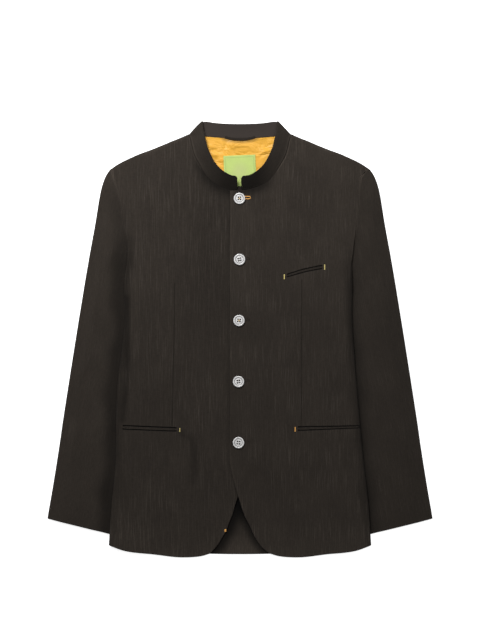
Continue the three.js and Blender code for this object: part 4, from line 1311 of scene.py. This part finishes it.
def make_collar():
    wall = sizes().collar_wall / MM
    stations = collar_stations()
    seam_line, top_line = (curve_points(stations[:, k], 10) for k in (0, 1))
    run = run_length((seam_line + top_line) / 2)
    places = stops(run[-1], 2.2) * run[-1]
    pick = lambda line: np.column_stack([np.interp(places, run, line[:, k]) for k in range(3)])
    seam, free = pick(seam_line), pick(top_line)
    height = float(np.linalg.norm(free - seam, axis=1).max())
    t = stops(height, 1.8)
    middle = seam[:, None] * (1 - t[:, None]) + free[:, None] * t[:, None]
    tangent = np.gradient(middle, places, axis=0)
    across = np.repeat((free - seam)[:, None], len(t), axis=1)
    normal = np.cross(across, tangent)
    normal /= np.linalg.norm(normal, axis=2, keepdims=True)
    for _ in range(3):
        normal[1:-1] = (normal[:-2] + 2 * normal[1:-1] + normal[2:]) / 4
    normal /= np.linalg.norm(normal, axis=2, keepdims=True)
    height_here = np.linalg.norm(free - seam, axis=1)[:, None]
    to_edge = np.minimum(t[None] * height_here, (1 - t[None]) * height_here)
    to_end = np.minimum(places, run[-1] - places)[:, None]
    half = wall / 2 * quarter(to_edge / (wall / 2)) * quarter(to_end / (wall / 2))
    bulge = 0.5 * np.sin(math.pi * t)[None] + 0.25 * np.sin(places / 17)[:, None] * np.sin(math.pi * t)[None]
    outer = middle + normal * (half + bulge)[..., None]
    inner = middle - normal * (half - bulge)[..., None]
    rows, columns = half.shape
    upper = np.arange(rows * columns).reshape(rows, columns)
    lower = upper.copy()
    lower[1:-1, 1:-1] = rows * columns + np.arange((rows - 2) * (columns - 2)).reshape(rows - 2, columns - 2)
    points = np.vstack([outer.reshape(-1, 3), inner[1:-1, 1:-1].reshape(-1, 3)])
    uv = np.stack([t[None] * height_here, np.repeat(places[:, None], columns, axis=1)], axis=-1)
    uvs = np.vstack([uv.reshape(-1, 2), uv[1:-1, 1:-1].reshape(-1, 2) + [COLLAR_FACING, 0]])
    quads = lambda k: np.stack([k[:-1, :-1], k[:-1, 1:], k[1:, 1:], k[1:, :-1]], axis=-1).reshape(-1, 4)
    faces = np.vstack([quads(upper), quads(lower)[:, ::-1]])
    material = shell_cloth("collar cloth", 0.35, 31.0, facing=True)
    # Painted light and shade on the outer face: by x on the front, and shade with a highlight along the seam
    shade = np.where(outer[..., 1] < 362, stops_at(COLLAR_SHADE, outer[..., 0]), 1)
    edge = softened(stops_at(COLLAR_EDGE_SHADE, t[None] * height_here), np.clip((outer[..., 1] - 300) / 12, 0, 1))
    shade = np.concatenate([(shade * edge).ravel(), np.ones(len(points) - shade.size)])
    obj = object_of("collar_cloth", points, faces.tolist(), uvs, material, shade)
    settle(obj, "collar")
    BUILT["collar_cloth"] = tree_of(obj)


# Pockets


def make_jets(pocket):
    name, half = pocket[0], pocket[1]
    tree = BUILT[f"front_{half}_cloth"]
    t = np.linspace(0, 1, 61)
    spread = pocket[-2] + (pocket[-1] - pocket[-2]) * t
    for word, side in (("upper", 1), ("lower", -1)):
        line = pocket_line(pocket, side * 1.05, 60)
        height = smooth_field(top_of(tree, line)[:, None], 1.5)[:, 0]
        slim = 0.55 + 0.45 * np.clip(np.minimum(t, 1 - t) * 18, 0, 1)
        slim = slim * (1 - 0.10 * np.sin(11 * t + side) * np.sin(math.pi * t)) * spread
        points, faces = tube(np.column_stack([line, height + 0.2]), 0.98 * slim, 0.5 * slim, sides=14)
        uv = points[:, :2] + [0, 40 * side]
        material = shell_cloth(f"{name} {word} jet cloth", 0.9, 5.0)
        settle(object_of(f"{name}_{word}_jet_cloth", points, faces, uv, material), f"{name}_{word}_jet")


# Stitches


def arched(start, end, height, steps=8):
    """A path from one point in plan to another that arches over the given heights."""
    t = np.linspace(0, 1, steps + 1)
    plan = np.outer(1 - t, start) + np.outer(t, end)
    return np.column_stack([plan, height(plan) + np.sin(math.pi * t) ** 0.5])


def stitch_object(name, bars, tree, thread, material):
    """Raised stitches: each bar goes from one point in plan to another over the surface."""
    parts = []
    for start, end in bars:
        path = arched(start, end, lambda plan: np.zeros(len(plan)))
        path[:, 2] = top_of(tree, path[:, :2]) + (path[:, 2] - 0.6) * thread * 0.9
        parts.append(tube(path, thread / 2, thread / 2))
    points, faces = joined(parts)
    settle(object_of(name, points, faces, points[:, :2], material), None)


def buttonhole_bars(x1, x2, y, half_height, pitch):
    """Satin stitches along both sides of a slit and around its outer end."""
    bars = []
    inner, outer = half_height * 0.42, half_height
    for x in np.arange(x1, x2 - 1.2, pitch):
        wobble = 0.12 * math.sin(7 * x)
        bars.append(((x, y + inner), (x + 0.1, y + outer + wobble)))
        bars.append(((x, y - inner), (x + 0.1, y - outer + wobble)))
    for angle in np.linspace(-math.pi / 2, math.pi / 2, 11):
        cx, cy = x2 - 1.6, y
        bars.append((
            (cx + inner * 0.9 * math.cos(angle), cy + inner * math.sin(angle)),
            (cx + outer * 0.75 * math.cos(angle), cy + outer * math.sin(angle)),
        ))
    return bars


def tack_bars(x, y, height, width, pitch, lean=0.0):
    """A bar tack: close stitches across, one above the other."""
    bars = []
    for k, dy in enumerate(np.arange(-height / 2, height / 2, pitch)):
        slide = 0.15 * math.sin(5 * k) + lean * dy
        bars.append(((x - width / 2 + slide, y + dy), (x + width / 2 + slide, y + dy + 0.15)))
    return bars


TACKS = [
    ("hip_pocket_left_tack", "left", 98.2, -159.6, 7.4, 2.2, "thread"),
    ("hip_pocket_right_tack", "right", -107, -160.6, 6.6, 1.7, "tack"),
    ("breast_pocket_front_tack", "left", 78.8, 111.6, 8.0, 2.2, "tack"),
    ("breast_pocket_side_tack", "left", 150.4, 128.6, 9.0, 2.2, "tack"),
]


def make_stitches():
    left, right = BUILT["front_left_cloth"], BUILT["front_right_cloth"]
    orange = thread_material("orange thread", colours().thread)
    yellow = thread_material("yellow thread", colours().tack)
    dark = thread_material("dark thread", [c * 1.2 for c in colours().cloth[:3]], 0.05)
    for k, x in enumerate(BUTTONS_X):
        y = BUTTON_TOP_Y - k * BUTTON_PITCH + 1.6
        tone = orange if k == 0 else dark
        bars = buttonhole_bars(x + 1.0, 18.3 if k == 0 else 17.6, y, 3.0 if k == 0 else 2.2, 0.5)
        stitch_object(f"buttonhole_{k + 1}_stitches", bars, left, 0.46, tone)
    for name, half, x, y, height, width, thread in TACKS:
        tree = left if half == "left" else right
        bars = tack_bars(x, y, height, width, 0.42)
        stitch_object(name, bars, tree, 0.44, orange if thread == "thread" else yellow)
    stitch_object("hem_facing_tack", tack_bars(-26.0, -339.6, 4.8, 3.2, 0.5), right, 0.5, orange)


def make_collar_stitches():
    """A row of edge stitches on the fronts, just below the collar's seam."""
    material = thread_material("collar edge thread", colours().cloth[:3], 0.05)
    for half in ("left", "right"):
        line = [(x, y) for x, y, *_ in COLLAR_FRONT[2:]] + [(COLLAR_END[half] + 2, COLLAR_END_SEAM)]
        table = on_side(half, line)
        count = int(section_length((table, 0, 1)) / 3.4)
        bars = []
        for k in range(count):
            a, b = along(table, [(k + 0.14) / count, (k + 0.86) / count])
            sideways = np.array([-(b - a)[1], (b - a)[0]])
            sideways *= -SIGN[half] * 1.9 / np.linalg.norm(sideways)
            bars.append((a + sideways, b + sideways))
        stitch_object(f"collar_edge_stitches_{half}", bars, BUILT[f"front_{half}_cloth"], 0.42, material)


# Buttons


# Rings of a button from its underside to its middle: distance in from the rim, height, and brightness, which is
# painted shade under the rim and in the groove
BUTTON_RINGS = [
    (2.2, 0.0, 0.5), (1.0, 0.15, 0.6), (0.35, 0.6, 0.8), (0.0, 1.2, 1.0), (0.0, 1.9, 1.0), (0.25, 2.5, 1.0),
    (0.7, 2.85, 1.0), (1.3, 3.0, 1.0), (2.0, 2.9, 1.0), (2.6, 2.5, 0.75), (3.1, 2.0, 0.4), (3.5, 1.95, 0.35),
    (4.0, 2.2, 0.8), (4.7, 2.35, 1.0),
]
BUTTON_HOLE = 1.25
BUTTON_HOLE_PITCH = 3.9


def ring_of(centre, radius, z, sides):
    return [(centre[0] + radius * math.cos(2 * math.pi * k / sides),
             centre[1] + radius * math.sin(2 * math.pi * k / sides), z) for k in range(sides)]


def button_mesh(name, centre, z, hole_centres, material):
    """A turned disc with a raised rim, a groove inside it and four holes."""
    radius, scale = sizes().button_radius / MM, sizes().button_thickness / MM / 3.0
    mesh = bpy.data.meshes.new(name)
    bm = bmesh.new()
    layer = bm.verts.layers.float.new("shade")

    def add_rings(rows, sides):
        rings = []
        for points, shade in rows:
            ring = [bm.verts.new([c * MM for c in point]) for point in points]
            for vert in ring:
                vert[layer] = shade
            rings.append(ring)
        for a, b in zip(rings, rings[1:]):
            for k in range(sides):
                bm.faces.new((a[k], a[(k + 1) % sides], b[(k + 1) % sides], b[k]))
        return rings[0], rings[-1]

    def fill(*rings):
        edges = []
        for ring in rings:
            for vert, following in zip(ring, ring[1:] + ring[:1]):
                edges.append(bm.edges.get((vert, following)))
        bmesh.ops.triangle_fill(bm, use_beauty=True, use_dissolve=False, edges=edges)

    rows = [(ring_of(centre, radius - inset, z + high * scale, 64), shade) for inset, high, shade in BUTTON_RINGS]
    underside, middle = add_rings(rows, 64)
    floor = BUTTON_RINGS[-1][1] * scale
    # The holes' rings: how much wider, height and brightness; the brightness is painted shade down into the hole
    sunk = ((0.3, floor, 1.0), (0.1, floor - 0.08, 0.5), (0.0, floor - 0.35, 0.04), (0.0, 0.0, 0.02))
    tops, bottoms = [], []
    for hole in hole_centres:
        rows = [(ring_of(hole, BUTTON_HOLE + wider, z + high, 16), shade) for wider, high, shade in sunk]
        top, bottom = add_rings(rows, 16)
        tops.append(top)
        bottoms.append(bottom)
    fill(middle, *tops)
    fill(underside, *bottoms)
    bmesh.ops.recalc_face_normals(bm, faces=bm.faces)
    bm.to_mesh(mesh)
    bm.free()
    mesh.shade_smooth()
    mesh.materials.append(material)
    obj = bpy.data.objects.new(name, mesh)
    bpy.context.scene.collection.objects.link(obj)
    return obj


def make_buttons():
    threads = {
        "cross": thread_material("gold button thread", (0.62, 0.42, 0.10, 1)),
        "bars": thread_material("grey button thread", (0.20, 0.18, 0.16, 1)),
    }
    sewn = {"cross": [(0, 2), (1, 3)], "bars": [(0, 1), (2, 3)]}
    for k, (x, turn, way) in enumerate(zip(BUTTONS_X, BUTTON_TURNS, BUTTON_THREADS)):
        centre = (x, BUTTON_TOP_Y - k * BUTTON_PITCH)
        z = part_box(f"button_{k + 1}")[0][2] / MM
        corners = np.array(ring_of((0, 0), BUTTON_HOLE_PITCH / math.sqrt(2), 0, 4))[:, :2]
        a = turn + math.pi / 4
        holes = corners @ np.array([[math.cos(a), math.sin(a)], [-math.sin(a), math.cos(a)]]) + centre
        obj = button_mesh(f"button_{k + 1}_pearl", centre, z, holes, pearl(f"pearl {k + 1}", 0.13 * k))
        settle(obj, f"button_{k + 1}")
        parts = []
        for layer, (first, second) in enumerate(sewn[way]):
            start, end = holes[first], holes[second]
            start, end = start + (end - start) * 0.15, end + (start - end) * 0.15
            sideways = np.array([start[1] - end[1], end[0] - start[0]]) / np.linalg.norm(end - start)
            for off in (-0.34, 0.0, 0.34):
                path = arched(start + sideways * off, end + sideways * off, lambda plan: np.zeros(len(plan)), 10)
                path[:, 2] = z + 1.75 + path[:, 2] * (0.72 + 0.12 * layer)
                parts.append(tube(path, 0.22, 0.22))
        points, faces = joined(parts)
        settle(object_of(f"button_{k + 1}_thread", points, faces, points[:, :2], threads[way]), None)


# Stage


def make_stage():
    scene = bpy.context.scene
    mesh = bpy.data.meshes.new("floor")
    half_size, low = 4.0, -0.0003
    corners = [(x * half_size, y * half_size, low) for x, y in ((-1, -1), (1, -1), (1, 1), (-1, 1))]
    mesh.from_pydata(corners, [], [(0, 1, 2, 3)])
    floor = bpy.data.objects.new("floor", mesh)
    scene.collection.objects.link(floor)
    material, n, shader = start_material("floor paper", 0.95, Specular_IOR_Level=0.2)
    grain = n.noise(n.vector("MULTIPLY", n.add("TexCoord").outputs["Object"], (40, 40, 40)), 1.0, detail=2)
    n.put(shader["Base Color"], n.colour_mix(grain, (0.90, 0.90, 0.90, 1), (0.93, 0.93, 0.93, 1)))
    shader["Emission Color"].default_value = (1, 1, 1, 1)
    shader["Emission Strength"].default_value = 0.8
    mesh.materials.append(material)

    def area(name, place, aim, size, energy, tint=(1, 1, 1)):
        light = bpy.data.lights.new(name, "AREA")
        light.shape = "DISK"
        light.size = size
        light.energy = energy
        light.color = tint
        obj = bpy.data.objects.new(name, light)
        obj.location = place
        obj.rotation_euler = (Vector(aim) - Vector(place)).to_track_quat("-Z", "Y").to_euler()
        scene.collection.objects.link(obj)

    area("key light", (-0.6, 1.35, 1.3), (0, 0, 0), 0.8, 37)
    area("fill light", (1.0, 0.8, 2.3), (0, 0, 0), 1.8, 17.5)
    world = bpy.data.worlds.new("studio")
    world.use_nodes = True
    world.node_tree.nodes["Background"].inputs["Color"].default_value = (1, 1, 1, 1)
    world.node_tree.nodes["Background"].inputs["Strength"].default_value = 0.18
    scene.world = world
    scene.view_settings.view_transform = "Standard"

    camera = bpy.data.cameras.new("camera")
    camera.lens = 85
    camera.sensor_width = 36
    camera.sensor_fit = "AUTO"
    camera.clip_start = 0.05
    holder = bpy.data.objects.new("camera", camera)
    holder.location = (0, 34.7 * MM, 2.694)
    scene.collection.objects.link(holder)
    scene.camera = holder


# The add-on


class JACKET_OT_stage(bpy.types.Operator):
    """Sets up the floor, the lights and the camera"""

    bl_idname = "jacket.stage"
    bl_label = "Stage"

    def execute(self, context):
        make_stage()
        return {"FINISHED"}


class JACKET_OT_sleeves(bpy.types.Operator):
    """Lays the under sleeves and the top sleeves on the floor"""

    bl_idname = "jacket.sleeves"
    bl_label = "Sleeves"

    def execute(self, context):
        for half in SIGN:
            make_under_sleeve(half)
            make_top_sleeve(half)
        return {"FINISHED"}


class JACKET_OT_back(bpy.types.Operator):
    """Lays the back over the inner edges of the sleeves"""

    bl_idname = "jacket.back"
    bl_label = "Back"

    def execute(self, context):
        make_back()
        return {"FINISHED"}


class JACKET_OT_neck(bpy.types.Operator):
    """Adds the lining, the label and the hanger loop inside the neck"""

    bl_idname = "jacket.neck"
    bl_label = "Inside of the neck"

    def execute(self, context):
        make_lining()
        make_label()
        make_loop()
        return {"FINISHED"}


class JACKET_OT_fronts(bpy.types.Operator):
    """Lays the right front and then the left one over it"""

    bl_idname = "jacket.fronts"
    bl_label = "Fronts"

    def execute(self, context):
        make_front("right")
        make_front("left")
        return {"FINISHED"}


class JACKET_OT_collar(bpy.types.Operator):
    """Sets the stand collar around the neck, with its edge stitches"""

    bl_idname = "jacket.collar"
    bl_label = "Collar"

    def execute(self, context):
        make_collar()
        make_collar_stitches()
        return {"FINISHED"}


class JACKET_OT_pockets(bpy.types.Operator):
    """Adds the two jets of each pocket"""

    bl_idname = "jacket.pockets"
    bl_label = "Pocket jets"

    def execute(self, context):
        for pocket in POCKETS:
            make_jets(pocket)
        return {"FINISHED"}


class JACKET_OT_stitches(bpy.types.Operator):
    """Sews the buttonholes and the bar tacks"""

    bl_idname = "jacket.stitches"
    bl_label = "Buttonholes and tacks"

    def execute(self, context):
        make_stitches()
        return {"FINISHED"}


class JACKET_OT_buttons(bpy.types.Operator):
    """Sews on the five buttons"""

    bl_idname = "jacket.buttons"
    bl_label = "Buttons"

    def execute(self, context):
        make_buttons()
        return {"FINISHED"}


STEPS = ("stage", "sleeves", "back", "neck", "fronts", "collar", "pockets", "stitches", "buttons")


class JACKET_PT_panel(bpy.types.Panel):
    """Lists the jacket's sizes, colours and pieces"""

    bl_label = "Jacket"
    bl_idname = "JACKET_PT_panel"
    bl_space_type = "VIEW_3D"
    bl_region_type = "UI"
    bl_category = "Jacket"

    def draw(self, context):
        for settings in (context.scene.jacket_sizes, context.scene.jacket_colours):
            box = self.layout.box()
            for key in settings.__annotations__:
                box.prop(settings, key)
        for step in STEPS:
            self.layout.operator(f"jacket.{step}")


CLASSES = (
    JacketSizes, JacketColours, JACKET_OT_stage, JACKET_OT_sleeves, JACKET_OT_back, JACKET_OT_neck, JACKET_OT_fronts,
    JACKET_OT_collar, JACKET_OT_pockets, JACKET_OT_stitches, JACKET_OT_buttons, JACKET_PT_panel,
)


def register():
    for cls in CLASSES:
        bpy.utils.register_class(cls)
    bpy.types.Scene.jacket_sizes = bpy.props.PointerProperty(type=JacketSizes)
    bpy.types.Scene.jacket_colours = bpy.props.PointerProperty(type=JacketColours)


def unregister():
    del bpy.types.Scene.jacket_sizes
    del bpy.types.Scene.jacket_colours
    for cls in reversed(CLASSES):
        bpy.utils.unregister_class(cls)


def main():
    register()
    for step in STEPS:
        getattr(bpy.ops.jacket, step)()


if __name__ == "__main__":
    main()
